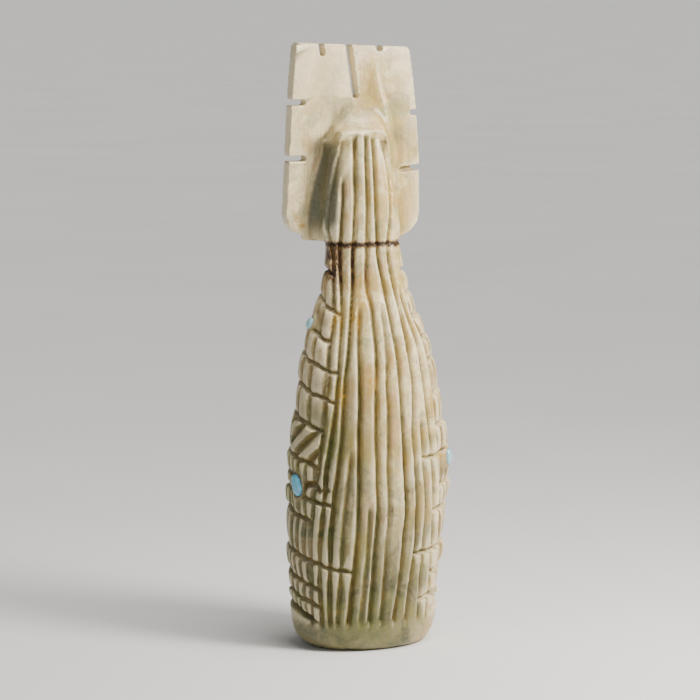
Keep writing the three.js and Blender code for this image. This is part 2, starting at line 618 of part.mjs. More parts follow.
// Frame of one inlay: X runs sideways, Y is the way its dome faces, and Z runs along the figure
function inlayFrame(inlay) {
  const angle = THREE.MathUtils.degToRad(inlay.angle);
  const z = height(inlay.level);
  const { point, outward } = plainPoint(angle, z);
  const above = plainPoint(angle, z + 1).point;
  const below = plainPoint(angle, z - 1).point;
  const tilt = (outward.x * (below.x - above.x) + outward.y * (below.y - above.y)) / 2;
  const facing = new THREE.Vector3(outward.x, outward.y, tilt).normalize();
  const sideways = new THREE.Vector3(0, 0, 1).cross(facing).normalize();
  const frame = new THREE.Matrix4().makeBasis(sideways, facing, sideways.clone().cross(facing));
  frame.setPosition(point.clone().addScaledVector(facing, INLAY_PAD_LEVEL));
  frame.multiply(new THREE.Matrix4().makeRotationY(THREE.MathUtils.degToRad(inlay.lean)));
  return frame.multiply(new THREE.Matrix4().makeScale(1, 1, inlay.tall));
}

// Turned shape along +Y, put in an inlay's frame
function turnedSolid(profile, inlay) {
  const geometry = new THREE.LatheGeometry(profile.map(([r, h]) => new THREE.Vector2(r, h)), INLAY_SIDES);
  geometry.applyMatrix4(inlayFrame(inlay));
  return toManifold(geometry);
}

function socketSolid(inlay) {
  const radius = INLAY_RADIUS + INLAY_CLEARANCE;
  const floor = -INLAY_SEAT_DEPTH - INLAY_FLOOR_GAP;
  return turnedSolid([[0, floor], [radius, floor], [radius, INLAY_PAD_RADIUS], [0, INLAY_PAD_RADIUS]], inlay);
}

function inlaySolid(inlay) {
  const profile = [[0, -INLAY_SEAT_DEPTH], [INLAY_RADIUS, -INLAY_SEAT_DEPTH], [INLAY_RADIUS, 0]];
  for (const degrees of INLAY_DOME_TURNS) {
    const turn = THREE.MathUtils.degToRad(degrees);
    profile.push([INLAY_RADIUS * Math.cos(turn), INLAY_DOME_HEIGHT * Math.sin(turn)]);
  }
  profile.push([0, INLAY_DOME_HEIGHT]);
  return turnedSolid(profile, inlay);
}

function toManifold(geometry) {
  const plain = new THREE.BufferGeometry();
  plain.setAttribute('position', geometry.getAttribute('position').clone());
  if (geometry.index !== null) plain.setIndex(geometry.index.clone());
  const merged = BufferGeometryUtils.mergeVertices(plain, 1e-4);
  return new wasm.Manifold(new wasm.Mesh({
    numProp: 3,
    vertProperties: new Float32Array(merged.getAttribute('position').array),
    triVerts: new Uint32Array(merged.index.array),
  }));
}

function toGeometry(solid) {
  const mesh = solid.getMesh();
  const geometry = new THREE.BufferGeometry();
  geometry.setAttribute('position', new THREE.Float32BufferAttribute(mesh.vertProperties, 3));
  geometry.setIndex(new THREE.Uint32BufferAttribute(mesh.triVerts, 1));
  geometry.computeVertexNormals();
  return geometry;
}

function stoneMaterial() {
  return new THREE.MeshStandardMaterial({ color: 0xc4b493, roughness: 0.38, metalness: 0 });
}

function turquoiseMaterial() {
  return new THREE.MeshStandardMaterial({ color: 0x6fb4bf, roughness: 0.3, metalness: 0 });
}

function namedMesh(name, solid, material) {
  const mesh = new THREE.Mesh(toGeometry(solid), material);
  mesh.name = name;
  return mesh;
}

function buildFigure() {
  let stone = toManifold(bodyGeometry()).add(tabletSolid()).add(headSolid()).add(faceSolid());
  stone = stone.simplify(FACET_TOLERANCE);
  for (const inlay of INLAYS) stone = stone.subtract(socketSolid(inlay));
  const group = new THREE.Group();
  group.add(namedMesh('stone_figure', stone, stoneMaterial()));
  for (const inlay of INLAYS) group.add(namedMesh(inlay.name, inlaySolid(inlay), turquoiseMaterial()));
  return group;
}

export default buildFigure();
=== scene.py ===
"""Corn maiden carving, photographed from behind: cream and tan stone with turquoise domes."""
import math
import bmesh
import bpy
import numpy as np
from mathutils import Matrix, Vector


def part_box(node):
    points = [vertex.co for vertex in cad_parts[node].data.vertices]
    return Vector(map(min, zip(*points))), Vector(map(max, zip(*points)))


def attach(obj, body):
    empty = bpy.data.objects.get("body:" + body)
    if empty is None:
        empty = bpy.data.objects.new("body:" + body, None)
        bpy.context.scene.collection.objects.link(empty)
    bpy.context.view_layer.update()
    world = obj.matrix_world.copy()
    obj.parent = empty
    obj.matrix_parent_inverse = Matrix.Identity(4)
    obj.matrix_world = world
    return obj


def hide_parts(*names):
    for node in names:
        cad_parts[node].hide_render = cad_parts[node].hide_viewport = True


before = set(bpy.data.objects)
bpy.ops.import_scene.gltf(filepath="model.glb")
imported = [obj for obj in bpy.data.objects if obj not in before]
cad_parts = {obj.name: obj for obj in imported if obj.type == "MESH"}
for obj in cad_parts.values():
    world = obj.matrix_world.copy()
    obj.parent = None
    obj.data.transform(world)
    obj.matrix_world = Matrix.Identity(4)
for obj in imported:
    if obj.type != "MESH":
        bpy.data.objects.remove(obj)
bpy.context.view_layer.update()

MM = 0.001
SEED = 7

# Driving sizes in millimetres. The height is the frame's own; the rest are the carving's
FIGURE_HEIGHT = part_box("stone_figure")[1].z / MM
BODY_WIDTH = 33.2
BODY_DEPTH = 21.3
TABLET_WIDTH = 27.1
TABLET_THICKNESS = 3.2


# Shares are hundredths: heights of FIGURE_HEIGHT, sideways places of half of BODY_WIDTH and
# places fore and aft of half of BODY_DEPTH. +Y is behind, +X is the photograph's left
def height(share):
    return share * FIGURE_HEIGHT / 100


def across(share):
    return share * BODY_WIDTH / 200


def deep(share):
    return share * BODY_DEPTH / 200


# Body outline, as [height, place] stations up the figure
HALF_WIDTH = [
    (0, 65.7), (0.4, 71.7), (1.3, 78.3), (2.6, 83.1), (4.3, 86.1), (7, 88.6), (10.4, 92.2),
    (13.9, 95.2), (17.4, 97), (21.7, 98.8), (27.8, 100), (32.2, 99.4), (34.8, 97), (39.1, 92.8),
    (43.5, 88.6), (47.8, 83.1), (52.2, 74.7), (56.5, 62.7), (60.9, 52.4), (64.3, 45.8), (67, 44),
    (69.6, 47.6), (73, 45.2), (78.3, 39.8), (81.7, 35.5), (85.6, 27.7),
]
CENTRE_X = [
    (0, -1.2), (1.7, 2.4), (10.4, 2.1), (19.1, 0.6), (27.8, -3), (43.5, -3.3), (53.9, -2.4),
    (66.1, -0.9), (69.6, 2.4), (85.6, 3.6),
]
CENTRE_Y = [(0, 0), (39.1, 0), (54.8, -9.4), (66.1, -18.8), (85.6, -28.2)]
BACK_Y = [
    (0, 69.5), (0.4, 77.9), (1.3, 85.4), (2.6, 90.1), (5.2, 93.9), (10.4, 96.7), (17.4, 99.5),
    (28.7, 100.5), (39.1, 93), (47.8, 77.9), (54.8, 57.3), (60.9, 37.6), (66.1, 26.3), (73, 19.7),
    (80, 12.2), (85.6, 2.8),
]
FRONT_Y = [
    (0, -69.5), (0.4, -77.9), (1.3, -85.4), (2.6, -90.1), (5.2, -93.9), (17.4, -98.6),
    (28.7, -99.5), (39.1, -95.8), (47.8, -88.3), (54.8, -80.8), (60.9, -76.1), (66.1, -73.2),
    (85.6, -69.5),
]
HAIR_TOP = 85.6

# Grooves beside the strands: height below which each is cut, share of the full depth, and
# its sideways place at each of the heights
GROOVE_HEIGHTS = [4, 12, 18, 24, 31, 37, 44, 50, 56, 60, 66, 70, 74, 79, 84]
HAIR_GROOVES = [
    (84.3, 1, [78, 81, 82, 80, 75, 69, 62, 57, 48, 45, 42, 48, 45, 38, 31]),
    (79.1, 1, [69, 73, 73, 70, 66, 59, 52, 46, 40, 38, 36, 34, 32, 30, 24]),
    (85.2, 1.1, [61, 63, 63, 60, 54, 49, 44, 37, 30, 25, 22, 20, 18, 17, 16]),
    (34.8, 0.8, [54, 52, 50, 47, 42, 38, 34, 30, 26, 21, 18, 16, 15, 13, 12]),
    (58.3, 1.2, [43, 38, 34, 32, 31, 30, 27, 25, 21, 16, 13, 11, 10, 9, 9]),
    (26.1, 0.75, [29, 24, 21, 19, 19, 19, 17, 14, 13, 13, 10, 8, 7, 6, 5]),
    (85.2, 1.05, [19, 15, 12, 9, 10, 10, 8, 5, 5, 9, 6, 4, 3, 3, 2]),
    (58.3, 0.85, [5, 0, -2, -5, -4, -5, -6, -8, -7, -2, -3, -3, -3, -3, -3]),
    (85.2, 1.1, [-11, -19, -23, -27, -24, -23, -22, -20, -16, -13, -8, -8, -8, -8, -7]),
    (85.2, 0.95, [-27, -34, -40, -41, -39, -37, -39, -36, -31, -26, -22, -26, -29, -27, -20]),
    (40, 0.8, [-45, -48, -51, -54, -50, -48, -46, -42, -35, -30, -26, -30, -33, -30, -22]),
    (60.9, 0.9, [-58, -62, -64, -65, -62, -59, -54, -50, -39, -34, -31, -35, -36, -31, -24]),
    (64.3, 1, [-70, -75, -76, -76, -74, -71, -67, -62, -47, -42, -38, -41, -41, -35, -26]),
]
STRAND_GROOVE_DEPTH = 1.3
STRAND_WALL_WIDTH = 0.42
STRAND_BANK_WIDTH = 1.15
STRAND_SLOPE_SHARE = 0.42
STRAND_SLOPE_WIDTH = 2.3
STRAND_LEVEL_STEP = 0.22
STRAND_START_FADE = 4
HEAD_START_FADE = 0.5
HEAD_START = 82
STRAND_END = 3.7
STRAND_END_FADE = 2.2
STRAND_WANDER = 0.035
STRAND_VARIATION = 0.1

# Ledges between the tiers of kernels: height at each side, and hair grooves crossed
LEFT_LEDGES = [62.6, 58.2, 53.5, 49, 44.3, 39.1, 33.1, 29.6, 27.2, 23.7, 17, 12.8, 9.7, 7.1]
LEFT_GROOVES_CROSSED = [0, 1, 0, 1, 1, 0, 0, 0, 2, 0, 4, 1, 1, 0]
RIGHT_LEDGES = [62.6, 59.3, 55.8, 52.1, 48.3, 43, 37.7, 33, 27.7, 23.7, 17.2, 13.2, 9.2, 6.9]
RIGHT_GROOVES_CROSSED = [0, 0, 0, 0, 0, 0, 0, 2, 0, 1, 3, 1, 2, 0]
LEFT_LEDGE_FALL = 0.054
RIGHT_LEDGE_FALL = 0.022
FRONT_LEDGE_FALL = 0.026
FRONT_LEDGE_SPAN = 30
TOP_LEDGE_FALL_SHARE = 0.3
HAIR_JOIN_ANGLES = (-25, 15)
FRONT_JOIN_ANGLE = 140
LEDGE_DEPTH = 1.45
LEDGE_LIP_HEIGHT = 0.35
LEDGE_UNDERCUT_HEIGHT = 1.15
LEDGE_END_FADE = 0.2
LEDGE_CARVING_SHARE = 0.45
LEDGE_RIPPLES = (0.14, 0.07)

# Kernels: columns from the edge of the hair round to the middle of the front
KERNEL_COLUMNS = 14
FRONT_KERNEL_COLUMN = 8
WIDE_KERNEL_TIERS = 5
KERNEL_GROOVE_DEPTH = 0.95
KERNEL_GROOVE_SHARE = 0.24
KERNEL_CROWN = 0.3
KERNEL_BULGE = 0.4
KERNEL_UNEVENNESS = 0.5
KERNEL_TAPER = 0.35
KERNEL_LEAN = 0.3
KERNEL_DRIFT = 0.25

# Slanting leaves in one tier on the left, the slot above the base, and the neck line
LEAF_TIER = 5
LEAF_GROOVE_DEPTH = 1.4
LEAF_GROOVE_SPACING = 4.4
LEAF_GROOVE_HALF_WIDTH = 1.35
LEAF_FALL = 0.165
LEAF_START_ANGLE = 73
LEAF_START = 33.6
BASE_SLOT_DEPTH = 1.4
BASE_SLOT_HALF_HEIGHT = 0.5
BASE_SLOT_ANGLES = (46, 70)
NECK_LINE = 67.1
NECK_LINE_HALF_HEIGHT = 0.3
NECK_LINE_DEPTH = 0.35

# Arched cut over a few small kernels
ARCH_ANGLE = 57
ARCH_LEVEL = 26.9
ARCH_RADIUS = 1.7
ARCH_HALF_WIDTH = 0.85
ARCH_DEPTH = 1.5
# Strands broken off short: lowest angle, highest angle and height
STRAND_BREAKS = [(41, 48, 27.3)]
STRAND_BREAK_DEPTH = 0.7
# Small pits, as angle, height, radius and depth, and one nick in the bottom edge
PITS = [
    (64, 53, 0.5, 0.7), (43, 46.5, 0.4, 0.6), (-24, 11.3, 0.22, 0.5), (-23, 10.4, 0.25, 0.5),
    (32, 0.1, 0.85, 0.7), (98, 12, 0.6, 0.5), (-67, 16.4, 0.9, 1.0), (-52, 75.6, 0.8, 0.5),
]

# Tablet, drawn with sideways places as hundredths of half of TABLET_WIDTH
TABLET_CENTRE_X = 0.55
TABLET_BACK = deep(-50.7)
TABLET_EDGE_ROUND = 0.28
TABLET_OUTLINE = [
    (80.8, 100), (85.2, 99.4), (88.9, 94.8), (92.6, 88.7), (96.3, 80), (100, 71.7), (97, 70.1),
    (88.9, 69), (52, 67.3), (-63.1, 67), (-88.2, 68.7), (-97, 70.1), (-100, 72), (-99.3, 80),
    (-94.8, 88.7), (-88.9, 94.8), (-84.5, 98.5), (-80.1, 99.2),
]
# Each kerf: outer end, inner end, width, depth from the back (None goes right through)
KERF_WIDTH = 1.1
TABLET_KERFS = [
    ((49.8, 101), (46.1, 98.2), KERF_WIDTH, None),
    ((8.9, 101), (-2.6, 91.3), 1.25, None),
    ((-35.8, 101), (-38.7, 99), 1.35, None),
    ((107, 90.2), (74.9, 90.2), KERF_WIDTH, None),
    ((107, 81), (74.2, 81), KERF_WIDTH, None),
    ((-107, 88.3), (-88.2, 88.3), KERF_WIDTH, None),
    ((-107, 79.3), (-93.4, 79.1), KERF_WIDTH, None),
    ((-107, 79.3), (-73.4, 78.8), KERF_WIDTH, 1.3),
]
KERF_OVERRUN = 1
SLOT = 1
SLOT_MOUTH_FLARE = 0.5
SLOT_MOUTH_DEPTH = 1.8

# Head: crown sections from the photograph's left to its right, each with its foot on the tablet
# as [sideways, height] and its brow as [sideways, behind the tablet, height]
CROWN_SECTIONS = [
    ((46, 80.6), (32, 43, 81.6)), ((38, 84), (31, 50, 84.4)), ((29, 86.8), (28.5, 52, 85.3)),
    ((14, 89.2), (14, 53, 85.5)), ((0, 90.6), (1, 53.5, 85.6)), ((-12, 91.6), (-11, 53.5, 85.6)),
    ((-24, 92), (-20, 53, 85.5)), ((-34, 89.8), (-25, 51, 84.9)), ((-42, 85), (-28, 46, 83.4)),
    ((-46, 80), (-31, 40, 81.6)),
]
CROWN_HOLLOW = 0.62
CROWN_UNDERSIDE = 83.9
CROWN_ROOT_DROP = 0.001
BROW_UNDERCUT = 8
SPUR_POINTS = [
    (-22.9, 0, 96.9), (-12, 0, 90.8), (-44, 0, 88), (-52, 0, 80), (-46, 0, 79), (-26.5, 6, 92.6),
    (-33, 12, 89.6), (-38, 17, 86), (-42, 17, 81),
]
HEAD_HEIGHTS = (68, 99)
HEAD_EASE = 0.5
HEAD_EASE_RISE = 0.5
HEAD_EASE_STEPS = 45
BROW_EASE_HEIGHTS = (85.75, 86.6)
BESIDE_HAIR = (0.2, 1.2)
FOOT_RISE = (0.03, 0.5)
FOOT_SPREAD_STEPS = 8
WEB_HEIGHTS = [67.5, 69.6, 73.9, 79.1, 83.3, 85.4]
WEBS = [([64, 66, 62, 52, 40, 28], [45, 48, 45, 38, 31, 24]),
        ([-52, -54, -49, -46, -46, -45], [-40, -43, -40, -34, -30, -24])]
WEB_BEHIND_TABLET = 41.3
WEB_INNER_SHARE = 0.4
WEB_HOLLOW = 0.55
CURVE_STEPS = 8

# Plain face on the hidden front of the tablet. Its features are shares of its own size
FACE_HALF_SIZE = (across(30), deep(24.4), height(6.3))
FACE_LEVEL = 76.1
FACE_SINK = 0.6
EYE_SPACING_SHARE = 0.4
EYE_LEVEL_SHARE = 0.05
MOUTH_DROP_SHARE = 0.47
NOSE_DROP_SHARE = 0.08
EYE_HALF_SIZE = (0.95, 0.5, 0.4)
MOUTH_HALF_SIZE = (1.1, 0.5, 0.35)
NOSE_HALF_SIZE = (0.55, 0.7, 1.8)
FEATURE_SINK = 0.3

# Turquoise domes: angle, height, how many times taller than wide, lean in degrees and paleness
INLAY_RADIUS = 1.15
INLAY_SEAT_DEPTH = 1.1
INLAY_GIRDLE = -0.12
INLAY_DOME_HEIGHT = 0.65
INLAY_DOME_STEPS = 14
INLAY_DOME_FULLNESS = 0.85
INLAY_RIPPLE = 0.02
INLAY_SIDES = 48
SOCKET_SIDES = 40
SOCKET_TOP = 3
INLAY_CLEARANCE = 0.08
INLAY_FLOOR_GAP = 0.3
INLAY_PAD_RADIUS = 1.8
INLAY_PAD_EDGE = 0.4
INLAY_PAD_LEVEL = -0.3
INLAYS = {
    "turquoise_inlay_left_upper": (93, 54.2, 1.05, 0, 0.75),
    "turquoise_inlay_left_lower": (73, 27.9, 1.85, 14, 0.05),
    "turquoise_inlay_right": (-66, 31.2, 1.35, 0, 0.55),
}

# Mesh resolution
GRID_COLUMNS = 480
GRID_ROW_STEP = 0.2
VOXEL = 0.2
STONE_TRIANGLES = 192000
BASE_FLATTENED = 0.1


def along(stations, z):
    """Smooth values at heights z in millimetres, from stations whose heights are shares."""
    z = 100 * np.asarray(z, float) / FIGURE_HEIGHT
    zs = np.array([s[0] for s in stations], float)
    vs = np.array([s[1] for s in stations], float)
    span = np.diff(zs)
    slope = np.diff(vs) / span
    tangent = np.zeros(len(vs))
    tangent[0], tangent[-1] = slope[0], slope[-1]
    product = slope[:-1] * slope[1:]
    safe = np.where(product > 0, slope[:-1] + slope[1:], 1)
    tangent[1:-1] = np.where(product > 0, 2 * product / safe, 0)
    z = np.clip(z, zs[0], zs[-1])
    i = np.clip(np.searchsorted(zs, z, "right") - 1, 0, len(span) - 1)
    t = (z - zs[i]) / span[i]
    return (vs[i] * (1 + 2 * t) * (1 - t) ** 2 + tangent[i] * span[i] * t * (1 - t) ** 2
            + vs[i + 1] * t * t * (3 - 2 * t) + tangent[i + 1] * span[i] * t * t * (t - 1))


def smooth(low, high, value):
    t = np.clip((value - low) / (high - low), 0, 1)
    return t * t * (3 - 2 * t)


def uneven(a, b):
    """A repeatable uneven number from 0 to 1."""
    s = np.sin(a * 12.9898 + b * 78.233) * 43758.5453
    return s - np.floor(s)


def groove_place(g, z):
    """Sideways place of one groove, with a slight wander of the hand."""
    stations = list(zip(GROOVE_HEIGHTS, HAIR_GROOVES[g][2]))
    wander = np.sin(z * 0.31 + g * 2.3) + 0.6 * np.sin(z * 0.83 + g * 4.1)
    return across(along(stations, z)) + STRAND_WANDER * wander


def plain_point(angle, z):
    """Point and outward direction of the plain body, angle from straight behind in radians."""
    centre_y = deep(along(CENTRE_Y, z))
    back, front = deep(along(BACK_Y, z)), deep(along(FRONT_Y, z))
    depth = np.where(np.cos(angle) > 0, back - centre_y, centre_y - front)
    half = across(along(HALF_WIDTH, z))
    x = across(along(CENTRE_X, z)) + half * np.sin(angle)
    y = centre_y + depth * np.cos(angle)
    nx, ny = np.sin(angle) / half, np.cos(angle) / depth
    length = np.hypot(nx, ny)
    return x, y, nx / length, ny / length


def strand_relief(angle, x, z):
    """Strands of hair, each rising slowly from one groove to a crest that drops into the next."""
    cut = np.zeros_like(x)
    level = np.zeros_like(x)
    turn = np.maximum(np.cos(angle), 0.4)
    for g, (top, share, _) in enumerate(HAIR_GROOVES):
        past = (groove_place(g, z) - x) / turn
        fade = HEAD_START_FADE if top > HEAD_START else STRAND_START_FADE
        started = 1 - smooth(height(top) - fade, height(top), z)
        varied = share * (1 + STRAND_VARIATION * np.sin(z * 0.16 + g * 1.9))
        wall = np.clip(1 + past / STRAND_WALL_WIDTH, 0, 1)
        bank = np.clip(1 - past / STRAND_BANK_WIDTH, 0, 1)
        slope = STRAND_SLOPE_SHARE * np.clip(1 - past / STRAND_SLOPE_WIDTH, 0, 1) ** 1.4
        groove = np.where(past < 0, wall, np.maximum(bank, slope))
        cut = np.maximum(cut, started * varied * groove)
        step = STRAND_LEVEL_STEP * (uneven(g, 3.0) - 0.5)
        level += started * step * smooth(-0.15, 0.15, -past)
    end = height(STRAND_END)
    return (level - STRAND_GROOVE_DEPTH * cut) * smooth(end, end + STRAND_END_FADE, z)


def ledge_height(k, degrees):
    """Height of ledge k round the figure: it falls toward the hair and joins up in front."""
    side = np.abs(degrees)
    drop = np.maximum(0, 90 - side)
    rise = FRONT_LEDGE_FALL * np.clip(side - 90, 0, FRONT_LEDGE_SPAN)
    fall = TOP_LEDGE_FALL_SHARE if k == 0 else 1
    left = LEFT_LEDGES[k] + fall * (rise - LEFT_LEDGE_FALL * drop)
    right = RIGHT_LEDGES[k] + fall * (rise - RIGHT_LEDGE_FALL * drop)
    front = 0.5 + np.sign(degrees) * 0.5 * (1 - smooth(FRONT_JOIN_ANGLE, 180, side))
    at_hair = smooth(*HAIR_JOIN_ANGLES, degrees)
    return height(right + (left - right) * np.where(side < 90, at_hair, front))


def hair_edge(left, z):
    """Angle at which the hair ends on one side, in degrees from straight behind."""
    reach = np.abs(groove_place(0 if left else -1, z) - across(along(CENTRE_X, z)))
    return np.degrees(np.arcsin(np.minimum(reach / across(along(HALF_WIDTH, z)), 0.985)))


def ledge_relief(degrees, x, z):
    """The step at every ledge: a sharp lip below it and a hollow above it."""
    depth = np.zeros_like(x)
    for k in range(len(LEFT_LEDGES)):
        ripple = LEDGE_RIPPLES[0] * np.sin(degrees * 0.23 + k * 2.1)
        ripple = ripple + LEDGE_RIPPLES[1] * np.sin(degrees * 0.6 + k)
        above = z - ledge_height(k, degrees) - ripple
        limit_left = groove_place(LEFT_GROOVES_CROSSED[k], z)
        limit_right = groove_place(len(HAIR_GROOVES) - 1 - RIGHT_GROOVES_CROSSED[k], z)
        past = np.where(degrees > 0, x - limit_left, limit_right - x)
        outside = np.where(np.abs(degrees) > 90, 1, smooth(-LEDGE_END_FADE, LEDGE_END_FADE, past))
        lip = 1 + above / LEDGE_LIP_HEIGHT
        hollow = (1 - np.clip(above / LEDGE_UNDERCUT_HEIGHT, 0, 1)) ** 1.2
        cut = np.clip(np.where(above < 0, lip, hollow), 0, 1)
        depth = np.minimum(depth, -LEDGE_DEPTH * outside * cut)
    return depth


def tier_of(degrees, z):
    """Tier of each point, and how far up its tier it is, from 0 to 1."""
    tier = np.full(z.shape, -1)
    up = np.zeros(z.shape)
    for k in range(len(LEFT_LEDGES) - 1):
        top, bottom = ledge_height(k, degrees), ledge_height(k + 1, degrees)
        inside = (z <= top) & (z > bottom)
        tier[inside] = k
        up[inside] = ((z - bottom) / (top - bottom))[inside]
    return tier, up


def kernel_relief(degrees, z, tier, up):
    """Rounded kernels side by side in one tier, wider in the upper tiers and on the front."""
    left = degrees > 0
    edge = np.where(left, hair_edge(True, z), hair_edge(False, z))
    column = KERNEL_COLUMNS * (np.abs(degrees) - edge) / (180 - edge)
    span = np.where((tier < WIDE_KERNEL_TIERS) | (column > FRONT_KERNEL_COLUMN), 2, 1)
    lean = KERNEL_LEAN * (up - 0.5) * np.sin(tier * 2.9 + np.where(left, 0, 1.3))
    drift = KERNEL_DRIFT * np.sin(tier * 1.7 + np.where(left, 0, 2.2))
    place = (column + np.where(column < FRONT_KERNEL_COLUMN, drift + lean, 0)) / span
    cell = np.floor(place)
    across_cell = place - cell
    near = np.minimum(across_cell, 1 - across_cell) * span
    groove = (1 - np.clip(near / KERNEL_GROOVE_SHARE, 0, 1)) ** 1.1
    crown = KERNEL_CROWN * np.abs(2 * across_cell - 1) ** 2.5 + KERNEL_BULGE * np.abs(2 * up - 1) ** 3
    lower = KERNEL_UNEVENNESS * uneven(cell + tier * 7, np.where(left, 3, 5))
    return -KERNEL_GROOVE_DEPTH * groove - (crown + lower) * (1 - groove) - KERNEL_TAPER * (1 - up)


def leaf_relief(degrees, z):
    """Slanting grooves between the leaves."""
    slanted = z - height(LEAF_START - LEAF_FALL * (degrees - LEAF_START_ANGLE))
    place = np.mod(slanted, LEAF_GROOVE_SPACING)
    near = np.minimum(place, LEAF_GROOVE_SPACING - place)
    return -LEAF_GROOVE_DEPTH * (1 - np.clip(near / LEAF_GROOVE_HALF_WIDTH, 0, 1))


def arc_distance(angle, z, degrees, level):
    """Distance over the surface from a place given by its angle and height."""
    x, y, _, _ = plain_point(angle, z)
    cx, cy, _, _ = plain_point(np.radians(float(degrees)), height(level))
    return np.hypot(x - cx, y - cy), z - height(level)


def small_cuts(angle, degrees, z):
    """The arch, the broken strands and the pits."""
    sideways, up = arc_distance(angle, z, ARCH_ANGLE, ARCH_LEVEL)
    ring = np.abs(np.hypot(sideways, up) - ARCH_RADIUS) / ARCH_HALF_WIDTH
    cut = ARCH_DEPTH * np.clip(1 - ring, 0, 1) * smooth(-0.6, 0.4, up)
    for low, high, level in STRAND_BREAKS:
        above = z - height(level)
        hollow = np.where(above < 0, 1 + above / 0.2, 1 - above / 0.7)
        inside = (degrees > low) & (degrees < high)
        cut = np.maximum(cut, np.where(inside, STRAND_BREAK_DEPTH * np.clip(hollow, 0, 1), 0))
    for pit_angle, level, radius, depth in PITS:
        sideways, up = arc_distance(angle, z, pit_angle, level)
        near = np.hypot(sideways, up) / radius
        cut = np.maximum(cut, depth * np.clip(1 - near ** 2, 0, 1))
    return cut


def relief(angle, z):
    """Depth of all the carving, measured from the plain body."""
    degrees = np.degrees(angle)
    x = plain_point(angle, z)[0]
    side = np.abs(degrees)
    tier, up = tier_of(degrees, z)
    edge = np.where(degrees > 0, hair_edge(True, z), hair_edge(False, z))
    in_hair = (side < 90) & (side < edge)
    carved = kernel_relief(degrees, z, tier, up)
    leaves = (tier == LEAF_TIER) & (degrees > 0) & (side < 90)
    carved = np.where(leaves, leaf_relief(degrees, z), carved)
    carved = np.where(tier < 0, 0, carved)
    depth = np.where(in_hair, strand_relief(angle, x, z), carved)
    depth = np.minimum(depth, ledge_relief(degrees, x, z) + depth * LEDGE_CARVING_SHARE)
    near = np.abs(z - ledge_height(len(LEFT_LEDGES) - 1, degrees)) / BASE_SLOT_HALF_HEIGHT
    depth -= BASE_SLOT_DEPTH * smooth(*BASE_SLOT_ANGLES, side) * (1 - np.clip(near, 0, 1))
    line = np.abs(z - height(NECK_LINE)) / NECK_LINE_HALF_HEIGHT
    depth -= np.where(side < 90, NECK_LINE_DEPTH * (1 - np.clip(line, 0, 1)), 0)
    depth = np.minimum(depth, depth * 0.5 - small_cuts(angle, degrees, z))
    for inlay_angle, level, tall, *_ in INLAYS.values():
        sideways, above = arc_distance(angle, z, inlay_angle, level)
        away = np.hypot(sideways, above / tall)
        pad = 1 - smooth(INLAY_PAD_RADIUS - INLAY_PAD_EDGE, INLAY_PAD_RADIUS + INLAY_PAD_EDGE, away)
        depth += (INLAY_PAD_LEVEL - depth) * pad
    return depth


# Mesh helpers
def link(name, mesh):
    obj = bpy.data.objects.new(name, mesh)
    bpy.context.scene.collection.objects.link(obj)
    return obj


def object_from(name, verts, faces):
    mesh = bpy.data.meshes.new(name)
    mesh.from_pydata([tuple(v) for v in verts], [], faces)
    mesh.update()
    return link(name, mesh)


def object_from_bmesh(name, bm):
    mesh = bpy.data.meshes.new(name)
    bmesh.ops.recalc_face_normals(bm, faces=bm.faces)
    bm.to_mesh(mesh)
    bm.free()
    return link(name, mesh)


def coordinates(mesh):
    flat = np.empty(len(mesh.vertices) * 3, np.float32)
    mesh.vertices.foreach_get("co", flat)
    return flat.reshape(-1, 3).astype(float)


def put_coordinates(mesh, points):
    mesh.vertices.foreach_set("co", np.asarray(points, np.float32).ravel())
    mesh.update()


def apply_modifiers(obj):
    view = bpy.context.evaluated_depsgraph_get()
    mesh = bpy.data.meshes.new_from_object(obj.evaluated_get(view))
    obj.modifiers.clear()
    old = obj.data
    obj.data = mesh
    bpy.data.meshes.remove(old)


def cut(obj, cutters):
    for cutter in cutters:
        mod = obj.modifiers.new("cut", "BOOLEAN")
        mod.operation = "DIFFERENCE"
        mod.solver = "EXACT"
        mod.object = cutter
        apply_modifiers(obj)
        bpy.data.objects.remove(cutter)


def join(name, objects):
    """One mesh from several, still in millimetres."""
    verts, faces = [], []
    for obj in objects:
        first = len(verts)
        verts += [tuple(v.co) for v in obj.data.vertices]
        faces += [tuple(first + i for i in p.vertices) for p in obj.data.polygons]
        bpy.data.objects.remove(obj)
    return object_from(name, verts, faces)


def triangle_count(mesh):
    return sum(len(p.vertices) - 2 for p in mesh.polygons)


# The stone
def body_form():
    """Dense closed grid of the carved body."""
    top_z = height(HAIR_TOP)
    angles = np.linspace(-math.pi, math.pi, GRID_COLUMNS, endpoint=False)
    levels = np.linspace(0, top_z, int(top_z / GRID_ROW_STEP) + 1)
    angle, z = (g.ravel() for g in np.meshgrid(angles, levels))
    x, y, nx, ny = plain_point(angle, z)
    depth = relief(angle, z)
    verts = np.stack([x + nx * depth, y + ny * depth, z], 1)
    ends = [(float(across(along(CENTRE_X, e))), float(deep(along(CENTRE_Y, e))), e) for e in (0, top_z)]
    verts = np.vstack([verts, ends])
    rows = len(levels)
    faces = []
    for r in range(rows - 1):
        base = r * GRID_COLUMNS
        for c in range(GRID_COLUMNS):
            n = (c + 1) % GRID_COLUMNS
            faces.append((base + c, base + GRID_COLUMNS + c, base + GRID_COLUMNS + n, base + n))
    bottom, last = rows * GRID_COLUMNS, (rows - 1) * GRID_COLUMNS
    for c in range(GRID_COLUMNS):
        n = (c + 1) % GRID_COLUMNS
        faces.append((bottom, c, n))
        faces.append((bottom + 1, last + n, last + c))
    return object_from("body_form", verts, faces)


